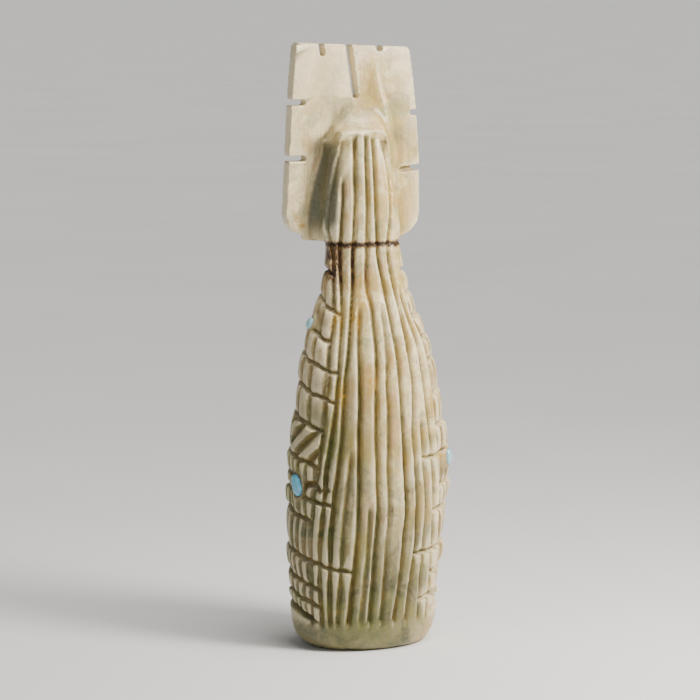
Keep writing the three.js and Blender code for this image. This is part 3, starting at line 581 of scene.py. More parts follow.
def upright_plate(name, outline, back_y, thickness):
    """Plate drawn in X and Z, its thickness running to -Y."""
    bm = bmesh.new()
    rings = [[bm.verts.new((x, y, z)) for x, z in outline] for y in (back_y, back_y - thickness)]
    bm.faces.new(rings[0])
    bm.faces.new(rings[1])
    for i in range(len(outline)):
        n = (i + 1) % len(outline)
        bm.faces.new((rings[0][i], rings[0][n], rings[1][n], rings[1][i]))
    return object_from_bmesh(name, bm)


def tablet_point(place):
    return np.array([TABLET_CENTRE_X + place[0] * TABLET_WIDTH / 200, height(place[1])])


def kerf_form(outer, inner, width, depth):
    start, end = tablet_point(outer), tablet_point(inner)
    direction = (end - start) / np.linalg.norm(end - start)
    side = np.array([-direction[1], direction[0]]) * width / 2
    outline = [start + side, start - side]
    for turn in np.linspace(-math.pi / 2, math.pi / 2, 9):
        outline.append(end + direction * width / 2 * math.cos(turn) + side * math.sin(turn))
    depth = TABLET_THICKNESS + KERF_OVERRUN if depth is None else depth
    return upright_plate("kerf", outline, TABLET_BACK + KERF_OVERRUN, depth + KERF_OVERRUN)


def slot_mouth_form():
    x, z = tablet_point(TABLET_KERFS[SLOT][0])
    reach = TABLET_KERFS[SLOT][2] / 2 + SLOT_MOUTH_FLARE
    outline = [(x - reach, z), (x + reach, z), (x, FIGURE_HEIGHT - SLOT_MOUTH_DEPTH)]
    through = TABLET_THICKNESS + 2 * KERF_OVERRUN
    return upright_plate("mouth", outline, TABLET_BACK + KERF_OVERRUN, through)


def tablet_form():
    plate = upright_plate("tablet_form", [tablet_point(p) for p in TABLET_OUTLINE], TABLET_BACK,
                          TABLET_THICKNESS)
    cut(plate, [kerf_form(*kerf) for kerf in TABLET_KERFS] + [slot_mouth_form()])
    bevel = plate.modifiers.new("round", "BEVEL")
    bevel.width = TABLET_EDGE_ROUND
    bevel.segments = 3
    bevel.limit_method = "ANGLE"
    bevel.angle_limit = math.radians(40)
    apply_modifiers(plate)
    return plate


def rooted_hull(points):
    """Hull of points that stand on the tablet; those on it go on into it."""
    bm = bmesh.new()
    for x, behind, z in points:
        bm.verts.new((across(x), TABLET_BACK + deep(behind), height(z)))
        if behind == 0:
            bm.verts.new((across(x), TABLET_BACK - TABLET_THICKNESS / 2, height(z)))
    bmesh.ops.convex_hull(bm, input=bm.verts)
    bmesh.ops.delete(bm, geom=[v for v in bm.verts if not v.link_faces], context="VERTS")
    return object_from_bmesh("hull", bm)


def bowed(start, end, hollow, steps):
    """Points of a curve from start to end, drawn in toward the corner where their sides meet."""
    short = (1 - hollow) / 2
    bend = Vector((end.x + (start.x - end.x) * short, start.y + (end.y - start.y) * short))
    points = []
    for i in range(steps + 1):
        t = i / steps
        points.append(start * (1 - t) ** 2 + bend * 2 * t * (1 - t) + end * t * t)
    return points


def ring_solid(name, rings):
    """Closed solid through rings of points that all have the same count."""
    bm = bmesh.new()
    rings = [[bm.verts.new(p) for p in ring] for ring in rings]
    bm.faces.new(rings[0])
    bm.faces.new(rings[-1])
    for low, high in zip(rings[:-1], rings[1:]):
        for i in range(len(low)):
            n = (i + 1) % len(low)
            bm.faces.new((low[i], low[n], high[n], high[i]))
    return object_from_bmesh(name, bm)


def web_form(on_tablet, in_hair):
    """Hollow-faced web between the tablet and one side of the hair."""
    rings = []
    low_y, high_y = TABLET_BACK - TABLET_THICKNESS / 2, TABLET_BACK + deep(WEB_BEHIND_TABLET)
    for level, tablet_x, hair_x in zip(WEB_HEIGHTS, on_tablet, in_hair):
        tablet_x, hair_x = across(tablet_x), across(hair_x)
        face = bowed(Vector((tablet_x, TABLET_BACK)), Vector((hair_x, high_y)), WEB_HOLLOW, CURVE_STEPS)
        inner = hair_x * WEB_INNER_SHARE
        ring = [(tablet_x, low_y)] + [(p.x, p.y) for p in face] + [(inner, high_y), (inner, low_y)]
        rings.append([(px, py, height(level)) for px, py in ring])
    return ring_solid("web", rings)


def crown_form():
    """Cap over the hair: its top sweeps in a hollow curve from the tablet out to the brow."""
    rings = []
    root_y, under_z = TABLET_BACK - TABLET_THICKNESS / 2, height(CROWN_UNDERSIDE)
    for (foot_x, foot_z), (brow_x, behind, brow_z) in CROWN_SECTIONS:
        foot_x, brow_x, foot_z, brow_z = across(foot_x), across(brow_x), height(foot_z), height(brow_z)
        brow_y = TABLET_BACK + deep(behind)
        curve = bowed(Vector((foot_z, TABLET_BACK)), Vector((brow_z, brow_y)), CROWN_HOLLOW, CURVE_STEPS)
        ring = [(foot_x, root_y, foot_z)]
        for i, p in enumerate(curve):
            ring.append((foot_x + (brow_x - foot_x) * i / CURVE_STEPS, p.y, p.x))
        ring.append((brow_x, brow_y - deep(BROW_UNDERCUT), under_z))
        ring.append((foot_x, root_y, under_z - CROWN_ROOT_DROP))
        rings.append(ring)
    return ring_solid("crown", rings)


def ball(centre, half_size):
    bm = bmesh.new()
    bmesh.ops.create_uvsphere(bm, u_segments=48, v_segments=32, radius=1)
    bmesh.ops.scale(bm, vec=half_size, verts=bm.verts)
    bmesh.ops.translate(bm, vec=centre, verts=bm.verts)
    return object_from_bmesh("ball", bm)


def face_forms():
    """Rounded plain face, its nose, and the hollows to cut for its eyes and mouth."""
    x, y, z = TABLET_CENTRE_X, TABLET_BACK - TABLET_THICKNESS + FACE_SINK, height(FACE_LEVEL)
    half_width, half_depth, half_height = FACE_HALF_SIZE
    front = y - half_depth + FEATURE_SINK
    face = ball((x, y, z), FACE_HALF_SIZE)
    cutters = [ball((x, front, z - MOUTH_DROP_SHARE * half_height), MOUTH_HALF_SIZE)]
    for side in (-1, 1):
        eye = (x + side * EYE_SPACING_SHARE * half_width, front, z + EYE_LEVEL_SHARE * half_height)
        cutters.append(ball(eye, EYE_HALF_SIZE))
    cut(face, cutters)
    return [face, ball((x, front, z - NOSE_DROP_SHARE * half_height), NOSE_HALF_SIZE)]


def ease_head(mesh):
    """Softens the creases of the crown, the spur and the webs, and leaves the brow crisp."""
    points = coordinates(mesh)
    x, y, z = points.T
    off_tablet = smooth(0, HEAD_EASE_RISE, y - TABLET_BACK)
    above_brow = smooth(*BROW_EASE_HEIGHTS, 100 * z / FIGURE_HEIGHT)
    left, right = groove_place(0, z), groove_place(len(HAIR_GROOVES) - 1, z)
    beside = np.maximum(smooth(*BESIDE_HAIR, x - left), smooth(*BESIDE_HAIR, right - x))
    beside *= (z > height(HEAD_HEIGHTS[0])) * (z <= height(BROW_EASE_HEIGHTS[1]))
    weight = HEAD_EASE * (off_tablet * np.maximum(above_brow, beside))[:, None]
    for _ in range(HEAD_EASE_STEPS):
        points = points + weight * (mean_of_neighbours(mesh, points) - points)
    put_coordinates(mesh, points)


def foot_group(obj):
    """Points where the head meets the tablet, which keep their close spacing."""
    points = coordinates(obj.data)
    behind, z = points[:, 1] - TABLET_BACK, points[:, 2]
    foot = (behind > FOOT_RISE[0]) & (behind < FOOT_RISE[1])
    foot &= (z > height(HEAD_HEIGHTS[0])) & (z < height(HEAD_HEIGHTS[1]))
    near = foot.astype(float)[:, None]
    for _ in range(FOOT_SPREAD_STEPS):
        near = mean_of_neighbours(obj.data, near)
    group = obj.vertex_groups.new(name="foot")
    group.add([int(i) for i in np.flatnonzero(near[:, 0] > 0.01)], 1.0, "REPLACE")
    return group


def stone_form():
    parts = [body_form(), tablet_form(), crown_form(), rooted_hull(SPUR_POINTS)]
    parts += [web_form(*web) for web in WEBS] + face_forms()
    obj = join("stone_carving", parts)
    skin = obj.modifiers.new("skin", "REMESH")
    skin.mode = "VOXEL"
    skin.voxel_size = VOXEL
    apply_modifiers(obj)
    ease_head(obj.data)
    obj.modifiers.new("ease", "SMOOTH")
    thin = obj.modifiers.new("thin", "DECIMATE")
    thin.ratio = min(1.0, STONE_TRIANGLES / triangle_count(obj.data))
    thin.vertex_group = foot_group(obj).name
    thin.invert_vertex_group = True
    apply_modifiers(obj)
    points = coordinates(obj.data)
    points[:, 2] = np.where(points[:, 2] < BASE_FLATTENED, 0, points[:, 2])
    points[:, 2] = np.clip(points[:, 2], 0, FIGURE_HEIGHT)
    put_coordinates(obj.data, points)
    cut(obj, [socket_form(inlay) for inlay in INLAYS.values()])
    obj.modifiers.new("flats", "WEIGHTED_NORMAL")
    apply_modifiers(obj)
    return obj


# Turquoise domes and their sockets
def inlay_matrix(inlay):
    """Place of an inlay: its own Z is the way the dome faces, its own Y runs up the figure."""
    degrees, share, tall, lean, _ = inlay
    angle, level = math.radians(degrees), height(share)
    x, y, nx, ny = (float(v) for v in plain_point(angle, level))
    xa, ya = (float(v) for v in plain_point(angle, level + 1)[:2])
    xb, yb = (float(v) for v in plain_point(angle, level - 1)[:2])
    facing = Vector((nx, ny, (nx * (xb - xa) + ny * (yb - ya)) / 2)).normalized()
    sideways = Vector((0, 0, 1)).cross(facing).normalized()
    upward = facing.cross(sideways)
    turn = Matrix((sideways, upward, facing)).transposed().to_4x4()
    place = Matrix.Translation(Vector((x, y, level)) + facing * INLAY_PAD_LEVEL)
    leaning = Matrix.Rotation(math.radians(lean), 4, "Z")
    return place @ turn @ leaning @ Matrix.Diagonal((1, tall, 1, 1))


def turned(name, profile, inlay, sides):
    """Turned shape from a [radius, height] profile that starts and ends on its axis."""
    place = inlay_matrix(inlay)
    bm = bmesh.new()
    first = bm.verts.new(place @ Vector((0, 0, profile[0][1])))
    last = bm.verts.new(place @ Vector((0, 0, profile[-1][1])))
    rings = []
    for radius, rise in profile[1:-1]:
        turns = [2 * math.pi * i / sides for i in range(sides)]
        rings.append([bm.verts.new(place @ Vector((radius * math.cos(a), radius * math.sin(a), rise)))
                      for a in turns])
    for i in range(sides):
        n = (i + 1) % sides
        bm.faces.new((first, rings[0][i], rings[0][n]))
        bm.faces.new((last, rings[-1][i], rings[-1][n]))
        for low, high in zip(rings[:-1], rings[1:]):
            bm.faces.new((low[i], low[n], high[n], high[i]))
    return object_from_bmesh(name, bm)


def socket_form(inlay):
    """Cutter for an inlay's socket."""
    radius, floor = INLAY_RADIUS + INLAY_CLEARANCE, -INLAY_SEAT_DEPTH - INLAY_FLOOR_GAP
    profile = [(0, floor), (radius, floor), (radius, SOCKET_TOP), (0, SOCKET_TOP)]
    return turned("socket", profile, inlay, SOCKET_SIDES)


def dome_form(name, inlay):
    """Polished dome with a softly rounded girdle."""
    profile = [(0, -INLAY_SEAT_DEPTH), (INLAY_RADIUS, -INLAY_SEAT_DEPTH), (INLAY_RADIUS, INLAY_GIRDLE)]
    for step in range(1, INLAY_DOME_STEPS):
        turn = math.radians(90 * step / INLAY_DOME_STEPS)
        reach = math.cos(turn) ** INLAY_DOME_FULLNESS
        profile.append((INLAY_RADIUS * reach, INLAY_DOME_HEIGHT * math.sin(turn)))
    profile.append((0, INLAY_DOME_HEIGHT))
    obj = turned(name, profile, inlay, INLAY_SIDES)
    points = coordinates(obj.data)
    rng = np.random.default_rng(SEED + len(name))
    phase = rng.uniform(0, 6, 2)
    ripple = np.sin(points @ np.array([2.1, 1.3, 1.7]) + phase[0])
    ripple = ripple * np.sin(points[:, 2] * 1.9 + phase[1])
    put_coordinates(obj.data, points + INLAY_RIPPLE * ripple[:, None] * np.array([0.5, 0.5, 1]))
    return obj


# Values stored on the mesh for the materials
BEND_EASE_STEPS = 3


def mean_of_neighbours(mesh, values):
    """Mean of each point's neighbours along the edges, for every column of values."""
    pairs = np.empty(len(mesh.edges) * 2, np.int32)
    mesh.edges.foreach_get("vertices", pairs)
    a, b = pairs[::2], pairs[1::2]
    count = np.bincount(pairs, minlength=len(values)).astype(float)
    columns = [np.bincount(a, values[b, i], len(values)) + np.bincount(b, values[a, i], len(values))
               for i in range(values.shape[1])]
    return np.stack(columns, 1) / np.maximum(count, 1)[:, None]


def bend_of(mesh, steps):
    """Hollowness of the surface in millimetres, positive in hollows and negative on edges."""
    points = coordinates(mesh)
    normals = np.empty(len(points) * 3, np.float32)
    mesh.vertices.foreach_get("normal", normals)
    eased = points
    for _ in range(steps):
        eased = mean_of_neighbours(mesh, eased)
    bend = ((eased - points) * normals.reshape(-1, 3)).sum(1)[:, None]
    for _ in range(BEND_EASE_STEPS):
        bend = mean_of_neighbours(mesh, bend)
    return bend[:, 0]


def store(mesh, name, values):
    layer = mesh.attributes.new(name, "FLOAT", "POINT")
    layer.data.foreach_set("value", np.asarray(values, np.float32))


def body_place(points):
    """Angle in degrees, height, and depth below the plain body of each point."""
    x, y, z = points.T
    centre_y = deep(along(CENTRE_Y, z))
    back, front = deep(along(BACK_Y, z)) - centre_y, centre_y - deep(along(FRONT_Y, z))
    half = across(along(HALF_WIDTH, z))
    sideways = (x - across(along(CENTRE_X, z))) / half
    angle = np.arctan2(sideways, (y - centre_y) / np.where(y > centre_y, back, front))
    px, py, nx, ny = plain_point(angle, z)
    return np.degrees(angle), z, (px - x) * nx + (py - y) * ny


# Mineral vein over the belly, as [angle, height share] points
VEIN = [(3, 22.3), (1, 23), (-5, 24), (-9, 25.1), (-14, 26), (-21, 27.2), (-30, 28.3)]
VEIN_HALF_WIDTH = 0.42


def vein_of(degrees, z):
    """Strength of the vein at each point, from 1 on its line to 0 beside it."""
    nearest = np.full(z.shape, 9.0)
    arc = across(100) * math.pi / 180
    for (a0, h0), (a1, h1) in zip(VEIN[:-1], VEIN[1:]):
        ahead, up = degrees * arc - a0 * arc, z - height(h0)
        run, rise = a1 * arc - a0 * arc, height(h1) - height(h0)
        t = np.clip((ahead * run + up * rise) / (run ** 2 + rise ** 2), 0, 1)
        nearest = np.minimum(nearest, np.hypot(ahead - t * run, up - t * rise))
    return np.clip(1 - nearest / VEIN_HALF_WIDTH, 0, 1)


# Ochre and rust marks, as angle, height share, and reaches sideways and upward in millimetres
OCHRE_MARKS = [
    (-52, 75.8, 1.0, 3.2), (15, 26.1, 0.6, 0.5), (-44, 40.6, 1.0, 2.6), (-54, 31.5, 1.0, 1.2),
    (35, 43, 1.0, 2.5), (23, 55.4, 1.5, 3.0), (16, 58.3, 1.6, 3.2), (-67, 16.2, 0.7, 1.4),
    (-45, 10.2, 1.0, 1.2), (12, 45, 1.5, 3.5), (45, 55, 1.2, 2.2),
]
# Ochre marks on the tablet, and grey smudges with painted shade beside the head, as sideways share,
# height share and reaches
TABLET_MARKS = [(79, 71.3, 0.5, 0.9), (76, 72.4, 0.8, 0.5), (66, 69.9, 1.8, 0.6), (73, 70.8, 1.2, 0.7)]
GREY_AND_SHADE_MARKS = [(-52, 90.4, 1.8, 1.6), (-52, 84.6, 2.2, 1.8), (22, 88.2, 2.2, 1.8), (60, 83, 2.5, 2.0)]


def marks_of(places, marks):
    """Soft spots around marks; places are sideways and upward distances for each mark in turn."""
    value = 0
    for (sideways, up), mark in zip(places, marks):
        value = np.maximum(value, np.exp(-(sideways / mark[2]) ** 2 - (up / mark[3]) ** 2))
    return value


# Heights in millimetres and angles between which each tone comes in or fades out
NECK_STAIN_TOP = (76, 77.4)
NECK_STAIN_REACH = 125
NECK_PATCH_FOOT = (68.5, 72)
NECK_PATCH_ANGLES = (30, 58)
NECK_STREAK_FOOT = (66, 71)
NECK_STREAK_ANGLES = (5, 15)
NECK_LINE_SPREAD = 0.7
# Where the olive tone and painted shade lie: low on the left side, turned from the lamp, and along the
# foot
GREEN_SHADE_LEFT_ANGLES = (-5, 40)
GREEN_SHADE_LEFT_TOP = (34, 72)
GREEN_SHADE_LOW_ANGLES = (-62, -18)
GREEN_SHADE_LOW_TOP = (10, 38)
# Where the painted shade on the left flank of the head lies
FLANK_SIDE = (4, 6.5)
FLANK_FOOT = (76, 82)
FLANK_TOP = (94, 101)
FLANK_RISE = (0.05, 0.8)
# Depth of carving at which groove dirt and painted shade start and how much deeper they are full
DIRT_AND_SHADE_START = 0.25
DIRT_AND_SHADE_SPAN = 0.9
# Bend at which an edge starts to take painted highlight and wear, and how much more is full, close by
# and further off
NEAR_HIGHLIGHT_AND_WEAR = (0.026, 0.012)
FAR_HIGHLIGHT_AND_WEAR = (0.076, 0.025)


def neck_stain(degrees, z, carved):
    """Brown line round the neck, with a patch at its left end and streaks down the grooves."""
    line = 0.9 * np.exp(-((z - height(NECK_LINE)) / NECK_LINE_SPREAD) ** 2)
    under_line = 1 - smooth(*NECK_STAIN_TOP, z)
    patch = 0.62 * smooth(*NECK_PATCH_ANGLES, degrees) * smooth(*NECK_PATCH_FOOT, z) * under_line
    streaks = 0.95 * carved * smooth(*NECK_STREAK_ANGLES, degrees)
    streaks = streaks * smooth(*NECK_STREAK_FOOT, z) * under_line
    stain = np.maximum(line, np.maximum(patch, streaks))
    return np.where(np.abs(degrees) < NECK_STAIN_REACH, stain, 0)


def highlight_and_wear_of(bend, limits):
    return np.clip((-bend - limits[0]) / limits[1], 0, 1)


def store_stone_values(mesh):
    """Stores where the stone has groove dirt and painted shade, painted highlight and wear, stains,
    green tone and painted shade, grey and painted shade, ochre and saw marks.
    """
    points = coordinates(mesh)
    x, y, z = points.T
    normals = np.empty(len(points) * 3, np.float32)
    mesh.vertices.foreach_get("normal", normals)
    # Faces turned up take painted highlight and less painted shade
    up_facing = smooth(0.3, 0.75, normals[2::3])
    degrees, _, depth = body_place(points)
    on_body = z < height(HAIR_TOP)
    behind = np.where(y > TABLET_BACK + 0.4, 1, 0) * on_body
    below_neck = z < height(NECK_LINE - 0.3)
    body = behind | below_neck
    carved = np.where(body, np.clip((depth - DIRT_AND_SHADE_START) / DIRT_AND_SHADE_SPAN, 0, 1), 0)
    small, wide = bend_of(mesh, 2), bend_of(mesh, 6)
    hollow = np.clip(wide / 0.1, 0, 1)
    # Cavity: groove dirt together with painted shade, darker deep in the carving and in hollows, lighter
    # on faces turned up
    store(mesh, "cavity", np.clip(0.6 * carved + 0.7 * hollow, 0, 1) * (1 - 0.85 * up_facing))
    # Edge: painted highlight along crests and on faces turned up, with some wear, weaker near the base
    crest = 0.6 * highlight_and_wear_of(small, NEAR_HIGHLIGHT_AND_WEAR) + 0.4 * highlight_and_wear_of(wide, FAR_HIGHLIGHT_AND_WEAR)
    highlight_and_wear = 0.25 + 0.75 * smooth(height(3.5), height(5.5), z)
    store(mesh, "edge", np.clip(crest + 0.5 * up_facing * body, 0, 1) * highlight_and_wear)
    store(mesh, "stain", np.where(body, neck_stain(degrees, z, carved), 0))
    store(mesh, "vein", np.where(np.abs(degrees) < 90, vein_of(degrees, z), 0))
    # Olive tone that is partly painted shade, on the lower left and along the foot
    lower_left = smooth(*GREEN_SHADE_LEFT_ANGLES, degrees) * (1 - smooth(*GREEN_SHADE_LEFT_TOP, z))
    low = (1 - smooth(*GREEN_SHADE_LOW_TOP, z)) * smooth(*GREEN_SHADE_LOW_ANGLES, degrees)
    # Painted shade on the left flank of the head, where it turns from the lamp
    flank_shade = smooth(*FLANK_SIDE, x) * smooth(*FLANK_FOOT, z) * (1 - smooth(*FLANK_TOP, z))
    flank_shade = flank_shade * smooth(*FLANK_RISE, y - TABLET_BACK)
    store(mesh, "green_and_shade", np.maximum(lower_left, low))
    store(mesh, "grey_and_shade", np.clip(0.9 * flank_shade + 0.5 * tablet_marks(x, z, GREY_AND_SHADE_MARKS), 0, 1))
    places = [arc_distance(np.radians(degrees), z, mark[0], mark[1]) for mark in OCHRE_MARKS]
    ochre = np.where(body, marks_of(places, OCHRE_MARKS), 0)
    on_tablet = smooth(78, 80, z) * (1 - smooth(0.1, 0.5, np.abs(y - TABLET_BACK)))
    store(mesh, "ochre", np.maximum(ochre, on_tablet * tablet_marks(x, z, TABLET_MARKS)))
    store(mesh, "tablet", on_tablet)
    store(mesh, "kernels", np.where(np.abs(degrees) > 50, 1 - smooth(68, 74, z), 0))


def tablet_marks(x, z, marks):
    return marks_of([(x - across(mark[0]), z - height(mark[1])) for mark in marks], marks)


# Materials
def rgb(r, g, b):
    """Linear colour from sRGB values of 0 to 255."""
    def linear(v):
        v /= 255
        return v / 12.92 if v <= 0.04045 else ((v + 0.055) / 1.055) ** 2.4
    return (linear(r), linear(g), linear(b), 1)


class Nodes:
    """Short calls for building one material's node tree."""

    def __init__(self, name):
        self.material = bpy.data.materials.new(name)
        self.material.use_nodes = True
        self.tree = self.material.node_tree
        self.shader = self.tree.nodes["Principled BSDF"]

    def put(self, socket, value):
        if isinstance(value, bpy.types.NodeSocket):
            self.tree.links.new(value, socket)
        else:
            socket.default_value = value

    def set(self, name, value):
        self.put(self.shader.inputs[name], value)

    def attribute(self, name):
        node = self.tree.nodes.new("ShaderNodeAttribute")
        node.attribute_name = name
        return node.outputs["Fac"]

    def millimetres(self, stretch=(1, 1, 1), shift=(0, 0, 0)):
        place = self.tree.nodes.new("ShaderNodeTexCoord")
        mapping = self.tree.nodes.new("ShaderNodeMapping")
        mapping.inputs["Scale"].default_value = [s / MM for s in stretch]
        mapping.inputs["Location"].default_value = shift
        self.tree.links.new(place.outputs["Object"], mapping.inputs["Vector"])
        return mapping.outputs["Vector"]

    def noise(self, place, scale, detail=4, rough=0.5, warp=0.0):
        node = self.tree.nodes.new("ShaderNodeTexNoise")
        self.tree.links.new(place, node.inputs["Vector"])
        node.inputs["Scale"].default_value = scale
        node.inputs["Detail"].default_value = detail
        node.inputs["Roughness"].default_value = rough
        node.inputs["Distortion"].default_value = warp
        return node.outputs["Fac"]

    def cells(self, place, scale):
        node = self.tree.nodes.new("ShaderNodeTexVoronoi")
        self.tree.links.new(place, node.inputs["Vector"])
        node.inputs["Scale"].default_value = scale
        return node.outputs["Distance"]

    def bands(self, place, scale, warp, detail):
        node = self.tree.nodes.new("ShaderNodeTexWave")
        node.bands_direction = "Z"
        self.tree.links.new(place, node.inputs["Vector"])
        node.inputs["Scale"].default_value = scale
        node.inputs["Distortion"].default_value = warp
        node.inputs["Detail"].default_value = detail
        return node.outputs["Fac"]

    def span(self, value, low, high, start=0.0, end=1.0):
        """Smoothly takes value from low..high to start..end."""
        node = self.tree.nodes.new("ShaderNodeMapRange")
        node.interpolation_type = "SMOOTHSTEP"
        for name, number in (("From Min", low), ("From Max", high), ("To Min", start), ("To Max", end)):
            node.inputs[name].default_value = number
        self.put(node.inputs["Value"], value)
        return node.outputs["Result"]

    def math(self, operation, a, b):
        node = self.tree.nodes.new("ShaderNodeMath")
        node.operation = operation
        self.put(node.inputs[0], a)
        self.put(node.inputs[1], b)
        return node.outputs["Value"]

    def times(self, a, b):
        return self.math("MULTIPLY", a, b)

    def plus(self, a, b):
        return self.math("ADD", a, b)

    def mix(self, factor, a, b):
        node = self.tree.nodes.new("ShaderNodeMix")
        node.data_type = "RGBA"
        self.put(node.inputs[0], factor)
        sockets = [s for s in node.inputs if s.type == "RGBA"]
        self.put(sockets[0], a)
        self.put(sockets[1], b)
        return [s for s in node.outputs if s.type == "RGBA"][0]

    def bump(self, heights, strength, distance, below=None):
        node = self.tree.nodes.new("ShaderNodeBump")
        node.inputs["Strength"].default_value = strength
        node.inputs["Distance"].default_value = distance * MM
        self.put(node.inputs["Height"], heights)
        if below is not None:
            self.put(node.inputs["Normal"], below)
        return node.outputs["Normal"]


def stone_material():
    n = Nodes("stone")
    place = n.millimetres()
    cavity, edge = n.attribute("cavity"), n.attribute("edge")
    broad = n.noise(place, 0.08, 5, 0.6, 0.8)
    medium = n.noise(n.millimetres(shift=(31, 7, 3)), 0.22, 6, 0.65, 1.0)
    patches = n.noise(n.millimetres(shift=(5, 40, 11)), 0.17, 6, 0.65, 1.2)
    fine = n.noise(place, 1.4, 8, 0.7)
    streaks = n.noise(n.millimetres((1, 1, 0.07)), 0.7, 5, 0.65, 0.4)
    threads = n.noise(n.millimetres((1, 1, 0.12), (8, 2, 5)), 1.6, 4, 0.6, 0.2)
    colour = n.mix(n.span(broad, 0.4, 0.6), rgb(240, 222, 172), rgb(194, 168, 100))
    colour = n.mix(n.span(medium, 0.48, 0.62, 0, 0.6), colour, rgb(208, 164, 124))
    colour = n.mix(n.span(patches, 0.5, 0.62, 0, 0.6), colour, rgb(150, 152, 112))
    colour = n.mix(n.span(streaks, 0.52, 0.66, 0, 0.55), colour, rgb(182, 150, 68))
    colour = n.mix(n.span(threads, 0.53, 0.66, 0, 0.4), colour, rgb(134, 116, 82))
    kernel_tone = n.times(n.attribute("kernels"), n.span(patches, 0.38, 0.6, 0.1, 0.6))
    colour = n.mix(kernel_tone, colour, rgb(156, 120, 76))
    # Dark olive tone, partly painted shade on the lower left and along the foot
    green_and_shade = n.times(n.attribute("green_and_shade"), n.span(medium, 0.35, 0.6, 0.75, 1.0))
    olive = n.mix(n.span(patches, 0.42, 0.58), rgb(50, 60, 22), rgb(76, 70, 36))
    green_and_shade_tone = n.mix(n.span(broad, 0.42, 0.62, 0, 0.7), olive, rgb(106, 110, 56))
    colour = n.mix(green_and_shade, colour, green_and_shade_tone)
    # Grey: painted shade on and beside the head's left flank, and grey smudges on the tablet
    colour = n.mix(n.attribute("grey_and_shade"), colour, rgb(66, 74, 60))
    # Ochre dirt and painted shade in the grooves and hollows
    groove_dirt_and_shade = n.mix(n.span(medium, 0.4, 0.6), rgb(106, 84, 24), rgb(74, 80, 26))
    colour = n.mix(n.times(cavity, n.span(streaks, 0.3, 0.65, 0.75, 1.0)), colour, groove_dirt_and_shade)
    # Painted highlight and wear on crests and tops, weaker where the green tone carries painted shade
    highlight_and_wear = n.times(edge, n.span(n.attribute("green_and_shade"), 0, 1, 0.6, 0.42))
    colour = n.mix(highlight_and_wear, colour, rgb(250, 236, 196))
    colour = n.mix(n.span(fine, 0.35, 0.7, 0, 0.2), colour, rgb(150, 132, 96))
    ochre = n.times(n.attribute("ochre"), n.span(n.noise(place, 1.1, 6, 0.7), 0.36, 0.56))
    colour = n.mix(n.times(ochre, 0.85), colour, rgb(186, 146, 44))
    stain = n.attribute("stain")
    speckle = n.noise(n.millimetres((1, 1, 0.5), (3, 3, 9)), 1.3, 6, 0.7, 0.8)
    warm = n.span(n.plus(n.times(stain, 0.5), n.times(speckle, 0.8)), 0.5, 0.72, 0, 0.85)
    dark = n.span(n.plus(n.times(stain, 0.45), n.times(speckle, 0.9)), 0.69, 0.8, 0, 0.9)
    colour = n.mix(n.times(warm, n.span(stain, 0.05, 0.4)), colour, rgb(126, 88, 42))
    colour = n.mix(n.times(dark, n.span(stain, 0.1, 0.4)), colour, rgb(44, 26, 14))
    vein = n.times(n.attribute("vein"), n.span(fine, 0.3, 0.6, 0.6, 1.0))
    colour = n.mix(vein, colour, rgb(86, 62, 36))
    n.set("Base Color", colour)
    rough = n.plus(n.span(fine, 0.3, 0.7, 0.24, 0.4), n.times(cavity, 0.2))
    n.set("Roughness", rough)
    n.set("IOR", 1.52)
    n.set("Subsurface Weight", 0.08)
    n.set("Subsurface Radius", (1.0, 0.75, 0.45))
    n.set("Subsurface Scale", 0.0008)
    facets = n.noise(place, 0.9, 3, 0.5)
    grain = n.noise(place, 6, 6, 0.7)
    saw = n.times(n.bands(n.millimetres((0.03, 0.03, 1)), 0.9, 2.5, 3), n.attribute("tablet"))
    scratches = n.noise(n.millimetres((1, 1, 0.06), (2, 6, 1)), 2.4, 3, 0.6)
    pits = n.span(n.cells(place, 1.3), 0.02, 0.16)
    normal = n.bump(facets, 0.5, 0.14)
    normal = n.bump(scratches, 0.35, 0.06, normal)
    normal = n.bump(n.times(pits, n.span(medium, 0.5, 0.6)), 0.25, 0.05, normal)
    normal = n.bump(saw, 0.25, 0.04, normal)
    normal = n.bump(grain, 0.35, 0.02, normal)
    n.set("Normal", normal)
    return n.material


def turquoise_material():
    n = Nodes("turquoise")
    place = n.millimetres()
    broad = n.noise(place, 0.7, 4, 0.5, 0.5)
    fine = n.noise(place, 3.2, 6, 0.65)
    matrix = n.noise(n.millimetres(shift=(9, 2, 4)), 1.1, 6, 0.6, 2.0)
    colour = n.mix(n.span(broad, 0.35, 0.65), rgb(36, 132, 184), rgb(76, 172, 196))
    colour = n.mix(n.span(fine, 0.4, 0.7, 0, 0.4), colour, rgb(150, 214, 222))
    colour = n.mix(n.attribute("pale"), colour, rgb(188, 226, 224))
    line = n.math("ABSOLUTE", n.plus(matrix, -0.5), 0)
    colour = n.mix(n.span(line, 0.0, 0.02, 0.45, 0), colour, rgb(70, 96, 84))
    n.set("Base Color", colour)
    n.set("Roughness", n.span(fine, 0.3, 0.7, 0.16, 0.3))
    n.set("IOR", 1.6)
    n.set("Coat Weight", 0.4)
    n.set("Coat Roughness", 0.1)
    n.set("Subsurface Weight", 0.1)
    n.set("Subsurface Radius", (0.4, 0.7, 0.9))
    n.set("Subsurface Scale", 0.0008)
    n.set("Normal", n.bump(fine, 0.15, 0.02))
    return n.material


def floor_material():
    n = Nodes("floor")
    tone = n.noise(n.millimetres((0.01, 0.01, 0.01)), 1.0, 3, 0.5)
    n.set("Base Color", n.mix(n.span(tone, 0.3, 0.7), rgb(232, 231, 228), rgb(236, 235, 232)))
    n.set("Roughness", 0.85)
    return n.material


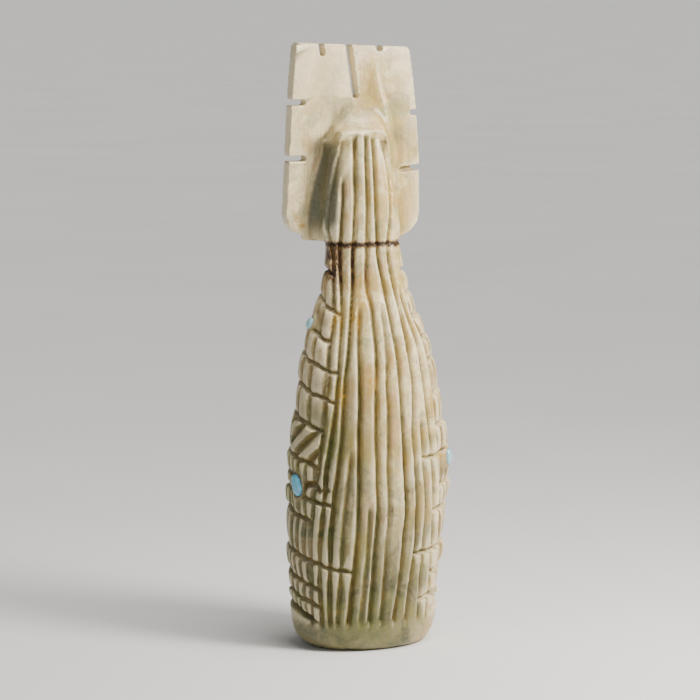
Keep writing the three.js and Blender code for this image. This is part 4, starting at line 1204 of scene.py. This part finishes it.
# Finished pieces
def finish_piece(obj, node, material):
    put_coordinates(obj.data, coordinates(obj.data) * MM)
    obj.data.polygons.foreach_set("use_smooth", np.ones(len(obj.data.polygons), bool))
    obj.data.materials.append(material)
    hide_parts(node)
    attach(obj, "root")


stone = stone_form()
store_stone_values(stone.data)
finish_piece(stone, "stone_figure", stone_material())

turquoise = turquoise_material()
for inlay_name, inlay in INLAYS.items():
    dome = dome_form(inlay_name.replace("inlay", "dome"), inlay)
    store(dome.data, "pale", np.full(len(dome.data.vertices), inlay[-1]))
    finish_piece(dome, inlay_name, turquoise)

# Camera at the photograph's viewing angle
AZIMUTH = math.radians(160)
ELEVATION = math.radians(8)
DISTANCE = 0.5
TARGET = Vector((2.87, -1.04, 56.75)) * MM
PIXELS_PER_MM = 5.24
SENSOR = 36
IMAGE_WIDTH = 700
toward_camera = Vector((math.sin(AZIMUTH) * math.cos(ELEVATION),
                        -math.cos(AZIMUTH) * math.cos(ELEVATION),
                        math.sin(ELEVATION)))
camera_data = bpy.data.cameras.new("camera")
camera_data.sensor_width = SENSOR
camera_data.lens = PIXELS_PER_MM * DISTANCE / MM * SENSOR / IMAGE_WIDTH
camera_data.clip_start = 0.01
camera_data.clip_end = 200
camera = link("camera", camera_data)
camera.location = TARGET + toward_camera * DISTANCE
camera.rotation_euler = toward_camera.to_track_quat("Z", "Y").to_euler()
bpy.context.scene.camera = camera


# Soft studio light: a broad lamp at the upper right, an overhead one and a weak fill
SIDE = Vector((math.cos(AZIMUTH), math.sin(AZIMUTH), 0))
AHEAD = Vector((math.sin(AZIMUTH), -math.cos(AZIMUTH), 0))


def from_camera(right, up, front):
    """Vector given by how far right, up and toward the camera it goes."""
    return SIDE * right + AHEAD * front + Vector((0, 0, up))


def add_lamp(name, kind, energy, colour, facing, place=(0, 0, 0)):
    """Lamp that shines along the opposite of facing."""
    data = bpy.data.lights.new(name, kind)
    data.energy = energy
    data.color = colour
    lamp = link(name, data)
    lamp.location = place
    lamp.rotation_euler = facing.to_track_quat("Z", "Y").to_euler()
    return data


key_place = from_camera(0.15, 0.165, 0.075)
key = add_lamp("key", "AREA", 0.8, (1, 0.96, 0.9), key_place - Vector((0, 0, 0.07)), key_place)
key.shape = "DISK"
key.size = 0.07
overhead = add_lamp("overhead", "SUN", 2.3, (1, 0.98, 0.95), from_camera(0.25, 1, 0.12))
overhead.angle = math.radians(35)
fill = add_lamp("fill", "SUN", 0.3, (0.92, 0.97, 1), from_camera(-0.7, 0.35, 0.8))
fill.angle = math.radians(60)

world = bpy.data.worlds.new("studio")
world.use_nodes = True
world.node_tree.nodes["Background"].inputs["Color"].default_value = (0.8, 0.82, 0.84, 1)
world.node_tree.nodes["Background"].inputs["Strength"].default_value = 0.22
bpy.context.scene.world = world

# Pale floor
FLOOR_HALF_SIZE = 60
corners = [(-1, -1), (1, -1), (1, 1), (-1, 1)]
floor = object_from("floor", [(x * FLOOR_HALF_SIZE, y * FLOOR_HALF_SIZE, 0) for x, y in corners],
                    [(0, 1, 2, 3)])
floor.data.materials.append(floor_material())
